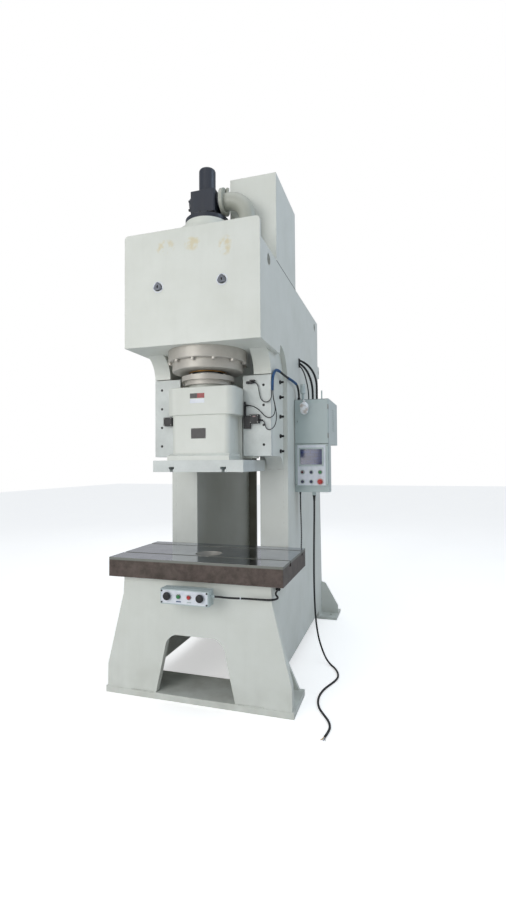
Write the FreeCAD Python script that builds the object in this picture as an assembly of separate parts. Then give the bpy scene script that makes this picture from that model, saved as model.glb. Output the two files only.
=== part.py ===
import FreeCAD, Part
import math
import os

# Open-front hydraulic stamping press.  Millimetres, +Z up, +Y towards the back.
# Origin: centre of the die hole, in the working surface of the bolster.

V = FreeCAD.Vector

# Main frame
floor_z = -895.0            # the floor lies this far under the working surface
head_bottom_z = 1357.0      # underside of the head
head_top_z = 1979.0         # top edge of the side plates
cover_top_z = 2097.0        # the front cover stands higher than the side plates
cover_front_y = -300.0
cover_thickness = 20.0
cover_corner_r = 25.0
frame_half_width = 462.0
side_thickness = 32.0
frame_back_y = 1690.0
wing_foot_y = 1815.0        # the side plates reach further back towards the floor
throat_y = 380.0            # front of the columns, back of the working space
column_inner_x = 252.0
wall = 25.0                 # usual plate of the weldment
deck = 40.0                 # plates of the head, the table and the feet
side_arch_z = -818.0        # lower edge of the side plates between the feet
column_bottom_z = -700.0
lug_end_y = 1775.0
lift_hole_r = 36.0

# Base
base_front_y = -241.0
base_front_thickness = 45.0
cross_wall_z = -450.0       # lower edge of the wall under the table
foot_half_width = 634.0
rear_foot_half_width = 630.0
rear_foot_y = (1640.0, 1940.0)
rear_foot_thickness = 25.0
foot_bolt_x = 560.0
front_foot_bolt_y = -90.0
rear_foot_bolt_y = 1735.0
foot_bolt_r = 14.0

# Bolster
bolster_half_width = 586.0
bolster_front_y = -287.0
bolster_back_y = 371.0
bolster_thickness = 123.4
die_hole_r = 90.0
slot_neck = 22.0
slot_head = 38.0
slot_head_height = 16.0
slot_neck_depth = 18.0

# Cylinder and ram
clamp_ring_r = 268.0
gland_ring_r = 240.0
barrel_r = 205.0
upper_barrel_r = 160.0      # above the head the barrel is narrower
bore_r = 132.0
ram_r = 110.0
bush_r = 128.0
piston_bottom_z = 1985.0
ram_foot_r = 157.0
gland_bottom_z = 1219.0
clamp_ring_bottom_z = 1281.0
barrel_top_z = 2110.0
running_gap = 0.06          # radial play of the ram, the piston and the shafts
ring_bolt_count = 12
ring_bolt_circle_r = 256.0

# Slide, at the top of its stroke
slide_bottom_z = 552.0
slide_plate_top_z = 628.0
pedestal_top_z = 672.0
collar_bottom_z = 923.0
slide_top_z = 1108.0
ram_foot_z = 1127.0
guide_gap = 0.3             # play between the slide and its guides

# Guides
guide_inner_x = 232.0
bracket_inner_x = 310.0
bracket_outer_x = 430.0
guide_front_y = 50.0
guide_plate_back_y = 75.0
rear_gib_y = 180.0
guide_bottom_z = 654.0
guide_top_z = 1199.0

# Cabinet beside the right column
cabinet_x = (462.0, 725.0)
cabinet_y = (620.0, 1100.0)
cabinet_z = (383.0, 1095.0)
cabinet_step_z = 752.0      # the cabinet is shallow under this height
cabinet_low_back_y = 725.0
sheet = 4.0
panel_front_y = 606.0
panel_z = (430.0, 750.0)
door_z = (754.0, 1091.0)

# Two-hand control box
box_half_width = 158.0
box_front_y = -390.0
box_back_y = -305.0
box_z = (-240.0, -150.0)

# Locks of the head cover
lock_x = 218.0
lock_z = 1735.0
lock_hole_r = 26.0

# Screws of the guides
adjuster_y = 281.0
adjuster_z = (690.0, 797.0, 935.0, 1073.0, 1180.0)
guide_screw_x = 377.0
guide_screw_z = (730.0, 862.0, 995.0, 1130.0)

# Places on the bolster
bolster_slot_y = (-100.0, 262.0)
bolster_bolt_x = 330.0
bolster_bolt_y = (-60.0, 150.0)

# Filling valve, pipe and pump
neck_r = 153.0
valve_bottom_z = barrel_top_z + 123
valve_flange_top_z = valve_bottom_z + 30
valve_neck_top_z = valve_bottom_z + 58
valve_top_z = valve_bottom_z + 210
valve_cap_height = 182.0
valve_drum_r = 59.0
valve_bore_r = 45.0
stem_r = 10.0
tank_top_z = 2586.0
port_z = valve_bottom_z + 150
pipe_x = 288.0
pipe_r = 57.0
pipe_bend_r = 130.0
shaft_z = head_bottom_z + deck + 170
shaft_r = 19.0

# Controls
door_hinge_x = 721.0
door_hinge_y = 610.0
screen_x = (496.0, 686.0)
screen_z = (582.0, 722.0)
panel_columns = (524.0, 591.0, 659.0)
panel_rows = (536.0, 464.0)
panel_controls = [(x, z) for z in panel_rows for x in panel_columns][1:]
collar_height = 4.0
button_cap_r = 11.0
button_travel = 4.0
stud_hole_r = 6.0
box_gland_y = -345.0
box_gland_z = -186.0
box_button_z = -190.0
box_buttons = (-108.0, -35.0, 33.0, 106.0)

# Cables
hose_exit_z = (1438.0, 1414.0, 1393.5)
hose_elbow_x = 486.0
hose_elbow_z = -215.0
box_elbow_x = 484.0
box_elbow_y = 20.0
supply_x = 604.0
supply_y = 650.0
supply_diameter = 14.0


def box(x0, x1, y0, y1, z0, z1):
    return Part.makeBox(x1 - x0, y1 - y0, z1 - z0, V(x0, y0, z0))


def rod(radius, start, end):
    axis = V(*end) - V(*start)
    return Part.makeCylinder(radius, axis.Length, V(*start), axis)


def ring(outer, inner, z0, z1):
    return rod(outer, (0, 0, z0), (0, 0, z1)).cut(rod(inner, (0, 0, z0 - 1), (0, 0, z1 + 1)))


def rounded_box(x0, x1, y0, y1, z0, z1, radius, front_only=False):
    """Box with its upright edges rounded, all four or the two at the front."""
    solid = box(x0, x1, y0, y1, z0, z1)
    edges = [e for e in solid.Edges if abs(e.Vertexes[0].Z - e.Vertexes[-1].Z) > 1]
    if front_only:
        edges = [e for e in edges if abs(e.Vertexes[0].Y - y0) < 1e-6]
    return solid.makeFillet(radius, edges)


def outline(points, to_vector):
    """Closed wire: a point is a corner, and ('arc', middle, end) is a round stretch."""
    edges = []
    here = to_vector(points[0])
    for item in points[1:] + points[:1]:
        if item[0] == "arc":
            end = to_vector(item[2])
            edges.append(Part.Arc(here, to_vector(item[1]), end).toShape())
        else:
            end = to_vector(item)
            if (end - here).Length > 1e-6:
                edges.append(Part.LineSegment(here, end).toShape())
        here = end
    return Part.Wire(edges)


def plate_yz(points, x0, x1):
    face = Part.Face(outline(points, lambda p: V(x0, p[0], p[1])))
    return face.extrude(V(x1 - x0, 0, 0))


def plate_xz(points, y0, y1):
    face = Part.Face(outline(points, lambda p: V(p[0], y0, p[1])))
    return face.extrude(V(0, y1 - y0, 0))


def mirrored(shape):
    return shape.mirror(V(0, 0, 0), V(1, 0, 0))


def both_sides(shape):
    return [shape, mirrored(shape)]


def hex_head(across_flats, start, end):
    """Six-sided head from start to end."""
    axis = V(*end) - V(*start)
    side = across_flats / math.sqrt(3)
    flat = Part.makePolygon([V(side * math.cos(math.radians(60 * i)), side * math.sin(math.radians(60 * i)), 0)
                             for i in range(7)])
    solid = Part.Face(flat).extrude(V(0, 0, axis.Length))
    turn = FreeCAD.Rotation(V(0, 0, 1), axis)
    solid.Placement = FreeCAD.Placement(V(*start), turn)
    return solid


def screw_head(radius, length, seat, direction):
    """Head of a cap screw: seat is where it bears, direction points out of it."""
    out = V(*direction)
    seat = V(*seat)
    head = rod(radius, tuple(seat), tuple(seat + out * length))
    socket = hex_head(radius * 0.85, tuple(seat + out * length * 0.5), tuple(seat + out * (length + 1)))
    return head.cut(socket)


def rounded_path(points):
    """Straight runs joined by tangent arcs, with the smallest arc radius."""
    corners = [V(*p) for p in points]
    edges = []
    start = corners[0]
    smallest = 1e9
    for before, here, after in zip(corners, corners[1:], corners[2:]):
        inward = (before - here).normalize()
        outward = (after - here).normalize()
        reach = 0.45 * min((before - here).Length, (after - here).Length)
        turn = math.pi - inward.getAngle(outward)
        smallest = min(smallest, reach / math.tan(turn / 2))
        first = here + inward * reach
        last = here + outward * reach
        half = (inward + outward).normalize()
        centre_distance = reach / math.sin(turn / 2)
        radius = reach / math.tan(turn / 2)
        middle = here + half * (centre_distance - radius)
        edges.append(Part.LineSegment(start, first).toShape())
        edges.append(Part.Arc(first, middle, last).toShape())
        start = last
    edges.append(Part.LineSegment(start, corners[-1]).toShape())
    return Part.Wire(edges), smallest


def cord(name, diameter, points):
    """Round tube along a route."""
    path, smallest = rounded_path(points)
    start = V(*points[0])
    heading = V(*points[1]) - start
    profile = Part.Wire(Part.makeCircle(diameter / 2, start, heading))
    tube = path.makePipeShell([profile], True, False)
    ideal = math.pi * diameter ** 2 / 4 * path.Length
    print(f"{name}: length {path.Length:.0f}, smallest radius {smallest:.0f}, volume ratio {tube.Volume / ideal:.4f}")
    return tube


def save(name, shapes):
    """Write one node, from one shape or a list of separate ones."""
    parts = shapes if isinstance(shapes, list) else [shapes]
    solids = [solid for shape in parts for solid in shape.Solids]
    result = solids[0] if len(solids) == 1 else Part.makeCompound(solids)
    result.exportStep(f"parts/{name}.step")


# Frame

def side_plate():
    """Right side plate: one C-shaped plate with lifting holes and a rear lug."""
    inner = frame_half_width - side_thickness
    bolster_bottom_z = -bolster_thickness
    profile = [
        (cover_front_y + cover_thickness, head_bottom_z),
        (175, head_bottom_z),
        (185, 1423),
        ("arc", (323.5, 1363.5), (throat_y, 1220)),
        (throat_y, bolster_bottom_z),
        (base_front_y + base_front_thickness, bolster_bottom_z),
        (base_front_y + base_front_thickness, floor_z + deck),
        (75, floor_z + deck),
        (75, side_arch_z),
        (rear_foot_y[0], side_arch_z),
        (rear_foot_y[0], floor_z + rear_foot_thickness),
        (wing_foot_y, floor_z + rear_foot_thickness),
        (wing_foot_y, -560),
        (frame_back_y, 1447),
        (lug_end_y, 1447),
        (lug_end_y, 1558),
        (frame_back_y, 1558),
        (frame_back_y, head_top_z),
        (cover_front_y + cover_thickness, head_top_z),
    ]
    plate = plate_yz(profile, inner, frame_half_width)
    for y, z, radius in ((-101, 1906, lift_hole_r), (1532, 1902, lift_hole_r), (1735, 1502, 20)):
        plate = plate.cut(rod(radius, (inner - 1, y, z), (frame_half_width + 1, y, z)))
    return plate


def column():
    """Right column: front plate and inner wall of the box that the side plate closes."""
    outer = frame_half_width - side_thickness
    front = box(column_inner_x, outer, throat_y, throat_y + wall, column_bottom_z, head_bottom_z)
    inner = box(column_inner_x, column_inner_x + wall, throat_y + wall, frame_back_y - wall,
                column_bottom_z, head_bottom_z)
    return front.fuse(inner).removeSplitter()


def rear_plate():
    """Closes the back between the side plates, with a window behind the working space."""
    outer = frame_half_width - side_thickness
    plate = box(-outer, outer, frame_back_y - wall, frame_back_y, floor_z + rear_foot_thickness, head_top_z)
    window = plate_xz(rounded_window(170, -300, 1180, 60), frame_back_y - wall - 1, frame_back_y + 1)
    vent = [box(-150, 150, frame_back_y - wall - 1, frame_back_y + 1, z, z + 14)
            for z in range(1480, 1760, 40)]
    return plate.cut([window] + vent)


def rounded_window(half, z0, z1, radius):
    """Outline of an upright window with round corners."""
    knee = radius * (1 - math.sqrt(0.5))
    return [
        (-half + radius, z0),
        (half - radius, z0),
        ("arc", (half - knee, z0 + knee), (half, z0 + radius)),
        (half, z1 - radius),
        ("arc", (half - knee, z1 - knee), (half - radius, z1)),
        (-half + radius, z1),
        ("arc", (-half + knee, z1 - knee), (-half, z1 - radius)),
        (-half, z0 + radius),
        ("arc", (-half + knee, z0 + knee), (-half + radius, z0)),
    ]


def head_cover():
    """Front cover of the head, with round top corners and holes for its two locks."""
    radius = cover_corner_r
    knee = radius * (1 - math.sqrt(0.5))
    half = frame_half_width
    profile = [
        (-half, head_bottom_z),
        (half, head_bottom_z),
        (half, cover_top_z - radius),
        ("arc", (half - knee, cover_top_z - knee), (half - radius, cover_top_z)),
        (-half + radius, cover_top_z),
        ("arc", (-half + knee, cover_top_z - knee), (-half, cover_top_z - radius)),
    ]
    cover = plate_xz(profile, cover_front_y, cover_front_y + cover_thickness)
    for x in (-lock_x, lock_x):
        cover = cover.cut(rod(lock_hole_r, (x, cover_front_y - 1, lock_z), (x, cover_front_y + 30, lock_z)))
    return cover


def head_plate(z0):
    """Horizontal plate of the head, bored for the cylinder barrel."""
    outer = frame_half_width - side_thickness
    plate = box(-outer, outer, cover_front_y + cover_thickness, frame_back_y - wall, z0, z0 + deck)
    return plate.cut(rod(barrel_r, (0, 0, z0 - 1), (0, 0, z0 + deck + 1)))


def guide_bracket():
    """Right bracket: hangs from the head, curves back to the guides and carries them."""
    profile = [
        (-60, head_bottom_z),
        ("arc", (21, 1296.8), (guide_front_y, 1205)),
        (guide_plate_back_y, 1205),
        (guide_plate_back_y, guide_bottom_z),
        (285, guide_bottom_z),
        ("arc", (345, 622), (throat_y, 560)),
        (throat_y, head_bottom_z),
    ]
    bracket = plate_yz(profile, bracket_inner_x, bracket_outer_x)
    hollow = box(bracket_inner_x + wall, bracket_outer_x - wall, 105, throat_y + 1, 700, 1330)
    bracket = bracket.cut(hollow)
    for z in adjuster_z:
        bracket = bracket.cut(rod(8.2, (bracket_inner_x - 1, adjuster_y, z), (bracket_outer_x + 1, adjuster_y, z)))
    for z in guide_screw_z:
        bracket = bracket.cut(rod(6.2, (guide_screw_x, 70, z), (guide_screw_x, 106, z)))
    return bracket


# Base

def base_front():
    """Thick front plate of the base: it flares to the foot and has an arch."""
    profile = [
        (-268, floor_z + deck),
        (-622, floor_z + deck),
        (-620, -710),
        (-505, -240),
        (-498, -bolster_thickness),
        (498, -bolster_thickness),
        (505, -240),
        (620, -710),
        (622, floor_z + deck),
        (268, floor_z + deck),
        (204, -566),
        ("arc", (180, -507), (128, -477)),
        (-128, -477),
        ("arc", (-180, -507), (-204, -566)),
    ]
    return plate_xz(profile, base_front_y, base_front_y + base_front_thickness)


def front_foot():
    """Floor plate under the front, with an upright gusset on each side at its back."""
    foot = box(-foot_half_width, foot_half_width, base_front_y - 2, 75, floor_z, floor_z + deck)
    gusset_profile = [
        (frame_half_width, -545),
        (602, floor_z + deck),
        (frame_half_width, floor_z + deck),
    ]
    gusset = plate_xz(gusset_profile, 50, 75)
    foot = foot.fuse(both_sides(gusset)).removeSplitter()
    return bolt_holes(foot, front_foot_bolt_y, deck)


def rear_foot():
    """Floor plate under the back, with an upright gusset on each side."""
    half = rear_foot_half_width
    top = floor_z + rear_foot_thickness
    foot = box(-half, half, rear_foot_y[0], rear_foot_y[1], floor_z, top)
    gusset_profile = [
        (frame_half_width, -572),
        (503, -588),
        (622, -797),
        (624, top),
        (frame_half_width, top),
    ]
    gusset = plate_xz(gusset_profile, wing_foot_y - wall, wing_foot_y)
    foot = foot.fuse(both_sides(gusset)).removeSplitter()
    return bolt_holes(foot, rear_foot_bolt_y, rear_foot_thickness)


def bolt_holes(foot, y, thickness):
    for x in (-foot_bolt_x, foot_bolt_x):
        foot = foot.cut(rod(foot_bolt_r, (x, y, floor_z - 1), (x, y, floor_z + thickness + 1)))
    return foot


def table_plate():
    """Deck that carries the bolster, with the cross wall of the base under it."""
    outer = frame_half_width - side_thickness
    front = base_front_y + base_front_thickness
    deck_plate = box(-outer, outer, front, throat_y, -bolster_thickness - deck, -bolster_thickness)
    cross = box(-outer, outer, 200, 200 + wall, cross_wall_z, -bolster_thickness - deck)
    table = deck_plate.fuse(cross).removeSplitter()
    table = table.cut(rod(die_hole_r + 8, (0, 0, -200), (0, 0, 0)))
    for x in (-bolster_bolt_x, bolster_bolt_x):
        for y in bolster_bolt_y:
            table = table.cut(rod(12.5, (x, y, -200), (x, y, 0)))
    return table


# Bolster

def bolster():
    """Table plate for the dies: two T-slots from side to side and a die hole."""
    half = bolster_half_width
    plate = rounded_box(-half, half, bolster_front_y, bolster_back_y, -bolster_thickness, 0, 4)
    plate = plate.cut(rod(die_hole_r, (0, 0, -bolster_thickness - 1), (0, 0, 1)))
    for y in bolster_slot_y:
        plate = plate.cut(box(-half - 1, half + 1, y - slot_neck / 2, y + slot_neck / 2, -slot_neck_depth, 1))
        plate = plate.cut(box(-half - 1, half + 1, y - slot_head / 2, y + slot_head / 2,
                              -slot_neck_depth - slot_head_height, -slot_neck_depth))
    for x in (-bolster_bolt_x, bolster_bolt_x):
        for y in bolster_bolt_y:
            plate = plate.cut(rod(10.5, (x, y, -bolster_thickness - 1), (x, y, -bolster_thickness + 50)))
    return plate


def bolster_bolts():
    """Four hexagon bolts from under the table."""
    under = -bolster_thickness - deck
    bolts = []
    for x in (-bolster_bolt_x, bolster_bolt_x):
        for y in bolster_bolt_y:
            head = hex_head(32, (x, y, under - 14), (x, y, under))
            shank = rod(10, (x, y, under), (x, y, under + deck + 45))
            bolts.append(head.fuse(shank))
    return bolts


# Cylinder, ram and slide

def clamp_ring():
    body = ring(clamp_ring_r, barrel_r, clamp_ring_bottom_z, head_bottom_z)
    rim = [e for e in body.Edges if abs(e.Length - 2 * math.pi * clamp_ring_r) < 1 and e.Vertexes[0].Z < 1300]
    body = body.makeFillet(6, rim)
    for x, y in ring_bolt_places():
        body = body.cut(rod(8.1, (x, y, clamp_ring_bottom_z - 1), (x, y, clamp_ring_bottom_z + 50)))
    return body


def ring_bolt_places():
    angles = [2 * math.pi * i / ring_bolt_count for i in range(ring_bolt_count)]
    return [(ring_bolt_circle_r * math.sin(a), -ring_bolt_circle_r * math.cos(a)) for a in angles]


def ring_bolts():
    bolts = []
    for x, y in ring_bolt_places():
        head = hex_head(22, (x, y, clamp_ring_bottom_z - 15), (x, y, clamp_ring_bottom_z))
        shank = rod(8, (x, y, clamp_ring_bottom_z), (x, y, clamp_ring_bottom_z + 45))
        bolts.append(head.fuse(shank))
    return bolts


def gland_ring():
    body = ring(gland_ring_r, bush_r, gland_bottom_z, clamp_ring_bottom_z)
    rim = [e for e in body.Edges if abs(e.Length - 2 * math.pi * gland_ring_r) < 1 and e.Vertexes[0].Z < 1250]
    return body.makeFillet(8, rim)


def cylinder_barrel():
    lower = ring(barrel_r, bore_r, clamp_ring_bottom_z, head_top_z)
    upper = ring(upper_barrel_r, bore_r, head_top_z, barrel_top_z)
    return lower.fuse(upper).removeSplitter()


def cylinder_cap():
    """Cap on the barrel, clipped beside the tank, with a neck that carries the valve."""
    step_z = barrel_top_z + 55
    cap = rod(barrel_r + 4, (0, 0, barrel_top_z), (0, 0, step_z))
    cap = cap.cut(box(110, 300, 90, 300, barrel_top_z - 1, step_z + 1))
    neck = rod(neck_r, (0, 0, step_z), (0, 0, valve_bottom_z))
    return cap.fuse(neck).removeSplitter().cut(rod(valve_bore_r, (0, 0, barrel_top_z - 1), (0, 0, valve_bottom_z + 1)))


def ram():
    """Ram with its piston head above and its foot flange on the slide."""
    foot = rod(ram_foot_r, (0, 0, ram_foot_z), (0, 0, ram_foot_z + 28))
    shaft = rod(ram_r, (0, 0, ram_foot_z + 28), (0, 0, piston_bottom_z))
    piston = rod(bore_r - running_gap, (0, 0, piston_bottom_z), (0, 0, piston_bottom_z + 100))
    return foot.fuse([shaft, piston]).removeSplitter()


def ram_flange():
    """Ring that clamps the ram's foot to the slide, with its cap screws' heads."""
    z0 = ram_foot_z + 28
    body = ring(178, ram_r, z0, z0 + 33)
    heads = []
    for i in range(8):
        a = math.radians(22.5 + 45 * i)
        x = 150 * math.cos(a)
        y = 150 * math.sin(a)
        heads.append(hex_head(16, (x, y, z0 + 33), (x, y, z0 + 43)))
    return body.fuse(heads)


def slide_body():
    """Cast slide: collar, waisted body, pedestal and a guide rib on each side."""
    collar = rounded_box(-238, 238, -155, 44, collar_bottom_z, slide_top_z, 55, True)
    collar = collar.makeFillet(7, [e for e in collar.Edges if e.BoundBox.ZLength < 0.1 and e.BoundBox.YMax < 43])
    front = rounded_box(-203, 203, -145, 44, pedestal_top_z, collar_bottom_z, 32, True)
    back = box(-226, 226, 44, 265, slide_plate_top_z, slide_top_z)
    pedestal = pedestal_block()
    ribs = box(-303.7, 303.7, guide_plate_back_y + guide_gap, rear_gib_y - guide_gap, 640, slide_top_z)
    boss = rod(130, (0, 0, slide_top_z), (0, 0, ram_foot_z))
    body = collar.fuse([front, back, pedestal, ribs, boss]).removeSplitter()
    core = box(-165, 165, -105, 225, slide_plate_top_z - 1, slide_top_z - 70)
    body = body.cut(core)
    for x in (202, -210):
        body = body.cut(box(x, x + 8, -75, -48, 690, 830))
    return body


def pedestal_block():
    """Foot of the slide, with sloping shoulders at the front and the sides."""
    low = Part.makePolygon([V(-216, -183, 0), V(216, -183, 0), V(216, 44, 0), V(-216, 44, 0), V(-216, -183, 0)])
    high = Part.makePolygon([V(-206, -150, 0), V(206, -150, 0), V(206, 44, 0), V(-206, 44, 0), V(-206, -150, 0)])
    low.translate(V(0, 0, pedestal_top_z - 16))
    high.translate(V(0, 0, pedestal_top_z))
    shoulder = Part.makeLoft([low, high], True)
    block = box(-216, 216, -183, 44, slide_plate_top_z, pedestal_top_z - 16)
    return block.fuse(shoulder)


def slide_plate():
    """Plate under the slide, with two T-slots from front to back."""
    plate = rounded_box(-314, 314, -195, 290, slide_bottom_z, slide_plate_top_z, 3)
    for x in (-180, 180):
        neck = box(x - slot_neck / 2, x + slot_neck / 2, -196, 291, slide_bottom_z - 1, slide_bottom_z + slot_neck_depth)
        head = box(x - slot_head / 2, x + slot_head / 2, -196, 291, slide_bottom_z + slot_neck_depth,
                   slide_bottom_z + slot_neck_depth + slot_head_height)
        plate = plate.cut([neck, head])
    return plate


# Guides

def guide_plate():
    """Right front gib: keeps the slide's rib in its track."""
    plate = box(guide_inner_x, bracket_outer_x, guide_front_y, guide_plate_back_y, guide_bottom_z, guide_top_z)
    plate = plate.makeFillet(2, [e for e in plate.Edges if e.BoundBox.YMax < guide_front_y + 0.1])
    for z in guide_screw_z:
        plate = plate.cut(rod(9.2, (guide_screw_x, 49, z), (guide_screw_x, 62, z)))
        plate = plate.cut(rod(6.2, (guide_screw_x, 61, z), (guide_screw_x, 76, z)))
    return plate


def guide_screws():
    """Cap screws of the front gibs and the adjusting screws of the rear gibs."""
    screws = []
    for z in guide_screw_z:
        head = screw_head(9, 10, (guide_screw_x, 62, z), (0, -1, 0))
        shank = rod(6, (guide_screw_x, 62, z), (guide_screw_x, 104, z))
        screws += both_sides(head.fuse(shank))
    for z in adjuster_z:
        seat = (bracket_outer_x, adjuster_y, z)
        nut = hex_head(24, seat, (seat[0] + 11, adjuster_y, z))
        screw = rod(8, (bracket_inner_x, adjuster_y, z), (seat[0] + 30, adjuster_y, z))
        screws += both_sides(nut.fuse(screw))
    return screws


def rear_gibs():
    gib = box(262, bracket_inner_x, rear_gib_y, 300, guide_bottom_z, guide_top_z)
    return both_sides(gib)


def gib_liners():
    """Bronze wear strips beside the slide's ribs."""
    strip = box(304, bracket_inner_x, guide_plate_back_y, rear_gib_y, guide_bottom_z, guide_top_z)
    return both_sides(strip)


def limit_switches():
    """Position sensors beside the slide: two blocks, a rod holder and an upper sensor."""
    block = rounded_box(286, 350, 20, guide_front_y, 872, 932, 3)
    holder = box(243.5, 288, 24, guide_front_y, 838, 925)
    rail = box(243.5, 253.5, 38, guide_front_y, 925, 1020)
    upper = rod(9, (262, 36, 1148), (300, 36, 1148))
    clip = box(286, 322, 26, guide_front_y, 1158, 1164)
    right = holder.fuse([block, rail]).removeSplitter()
    top = upper.fuse([clip, box(290, 298, 26, guide_front_y, 1140, 1160)]).removeSplitter()
    return [right, top, mirrored(block)]


# Valve and oil tank on the head

def valve_body():
    """Filling valve: thin flange, neck, a block with a drum across it and a port to the right."""
    flange = rod(neck_r - 3, (0, 0, valve_bottom_z), (0, 0, valve_flange_top_z))
    neck = rod(92, (0, 0, valve_flange_top_z), (0, 0, valve_neck_top_z))
    body = rounded_box(-88, 88, -92, 86, valve_neck_top_z, valve_top_z, 10)
    drum = rod(valve_drum_r, (-112, 0, port_z), (95, 0, port_z))
    port = rod(62, (95, 0, port_z), (112, 0, port_z))
    solid = flange.fuse([neck, body, drum, port]).removeSplitter()
    solid = solid.cut(rod(valve_bore_r, (0, 0, valve_bottom_z - 1), (0, 0, valve_top_z + 1)))
    return solid.cut(rod(50, (0, 0, port_z), (113, 0, port_z)))


def valve_cap():
    """Domed cylinder on the valve, bored for the poppet's stem."""
    top = valve_top_z + valve_cap_height
    cap = rod(57, (0, 0, valve_top_z), (0, 0, top))
    cap = cap.makeFillet(16, [e for e in cap.Edges if e.BoundBox.ZMin > top - 1])
    return cap.cut(rod(stem_r + running_gap, (0, 0, valve_top_z - 1), (0, 0, valve_top_z + 90)))


def valve_screws():
    """Screws of the valve's flange and of the left end of its drum."""
    screws = []
    for i in range(16):
        a = math.radians(22.5 * i)
        seat = (128 * math.cos(a), 128 * math.sin(a), valve_flange_top_z)
        screws.append(screw_head(9, 14, seat, (0, 0, 1)))
    for y in (-30, 30):
        for z in (port_z - 30, port_z + 30):
            screws.append(screw_head(9, 14, (-112, y, z), (-1, 0, 0)))
    return screws


def prefill_poppet():
    seat_z = valve_bottom_z + 20
    disc = rod(valve_bore_r - 6, (0, 0, seat_z), (0, 0, seat_z + 14))
    stem = rod(stem_r, (0, 0, seat_z + 14), (0, 0, valve_top_z + 70))
    return disc.fuse(stem).removeSplitter()


def suction_elbow():
    """Bent pipe from the valve's port down into the head, with a flange at each end."""
    path = Part.Wire([
        Part.LineSegment(V(112, 0, port_z), V(pipe_x - pipe_bend_r, 0, port_z)).toShape(),
        Part.Arc(V(pipe_x - pipe_bend_r, 0, port_z),
                 V(pipe_x - pipe_bend_r * (1 - math.sqrt(0.5)), 0, port_z - pipe_bend_r * (1 - math.sqrt(0.5))),
                 V(pipe_x, 0, port_z - pipe_bend_r)).toShape(),
        Part.LineSegment(V(pipe_x, 0, port_z - pipe_bend_r), V(pipe_x, 0, head_top_z)).toShape(),
    ])
    pipes = []
    for radius in (pipe_r, pipe_r - 6):
        profile = Part.Wire(Part.makeCircle(radius, V(112, 0, port_z), V(1, 0, 0)))
        pipes.append(path.makePipeShell([profile], True, False))
    collar = rod(90, (112, 0, port_z), (134, 0, port_z))
    base = rod(78, (pipe_x, 0, head_top_z), (pipe_x, 0, head_top_z + 18))
    bleed = rod(11, (148, 0, port_z + 48), (148, 0, port_z + 92))
    return pipes[0].fuse([collar, base, bleed]).removeSplitter().cut(pipes[1])


def oil_tank():
    """Welded tank, open below where it stands on the head."""
    tank = box(132, frame_half_width, 95, 694.5, head_top_z, tank_top_z)
    inside = box(138, frame_half_width - 6, 101, 688.5, head_top_z - 1, tank_top_z - 6)
    tank = tank.cut(inside)
    filler = rod(38, (300, 420, tank_top_z), (300, 420, tank_top_z + 8))
    return tank.fuse(filler).removeSplitter()


# Drive inside the head

def pump_motor():
    """Foot-mounted motor, bored for the shaft."""
    body = rod(130, (0, 820, shaft_z), (0, 1190, shaft_z))
    foot = box(-110, 110, 860, 1150, head_bottom_z + deck, shaft_z - 60)
    motor = body.fuse(foot).removeSplitter()
    return motor.cut(rod(shaft_r + running_gap, (0, 819, shaft_z), (0, 1191, shaft_z)))


def pump():
    """Gear pump on a pedestal in front of the motor."""
    body = rod(75, (0, 640, shaft_z), (0, 760, shaft_z))
    foot = box(-60, 60, 650, 750, head_bottom_z + deck, shaft_z - 40)
    solid = body.fuse(foot).removeSplitter()
    return solid.cut(rod(shaft_r + running_gap, (0, 680, shaft_z), (0, 761, shaft_z)))


def pump_shaft():
    """Shaft of the motor and the pump, with its coupling and fan."""
    shaft = rod(shaft_r, (0, 690, shaft_z), (0, 1225, shaft_z))
    coupling = rod(40, (0, 765, shaft_z), (0, 812, shaft_z))
    fan = rod(100, (0, 1200, shaft_z), (0, 1215, shaft_z))
    return shaft.fuse([coupling, fan]).removeSplitter()


# Head cover locks

def head_lock(x):
    """Three-lobed quarter-turn lock."""
    centre = V(x, cover_front_y - guide_gap, lock_z)
    knob = rod(22, tuple(centre), (x, centre.y - 12, lock_z))
    for i in range(3):
        a = math.radians(90 + 120 * i)
        lx = x + 16 * math.cos(a)
        lz = lock_z + 16 * math.sin(a)
        knob = knob.fuse(rod(13, (lx, centre.y, lz), (lx, centre.y - 12, lz)))
    shank = rod(lock_hole_r - running_gap, (x, centre.y, lock_z), (x, cover_front_y + 14, lock_z))
    key = box(x - 5, x + 5, centre.y - 13, centre.y - 6, lock_z - 9, lock_z + 9)
    return knob.fuse(shank).removeSplitter().cut(key)


# Cabinet

def cabinet_shell():
    """Sheet cabinet beside the column: deep above, shallow behind the operator panel, open at the front."""
    (x0, x1), (y0, y1), (z0, z1) = cabinet_x, cabinet_y, cabinet_z
    shell = box(x0, x1, y0, y1, cabinet_step_z, z1).fuse(box(x0, x1, y0, cabinet_low_back_y, z0, z1)).removeSplitter()
    deep = box(x0 + sheet, x1 - sheet, y0 + sheet, y1 - sheet, cabinet_step_z + sheet, z1 - sheet)
    shallow = box(x0 + sheet, x1 - sheet, y0 + sheet, cabinet_low_back_y - sheet, z0 + sheet, z1 - sheet)
    shell = shell.cut([deep, shallow])
    shell = shell.cut(box(x0 + 16, x1 - 16, y0 - 1, y0 + sheet + 1, z0 + 52, z1 - 12))
    beacon = rod(9, (525, 640, z1), (525, 640, z1 + 60)).fuse(rod(19, (525, 640, z1 + 50), (525, 640, z1 + 118)))
    eye = rod(5, (668, 660, z1), (668, 660, z1 + 55)).fuse(rod(11, (664, 660, z1 + 58), (672, 660, z1 + 58)))
    gland = rod(14, (supply_x, supply_y, z0 - 24), (supply_x, supply_y, z0))
    return shell.fuse([beacon, eye, gland]).removeSplitter()


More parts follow.
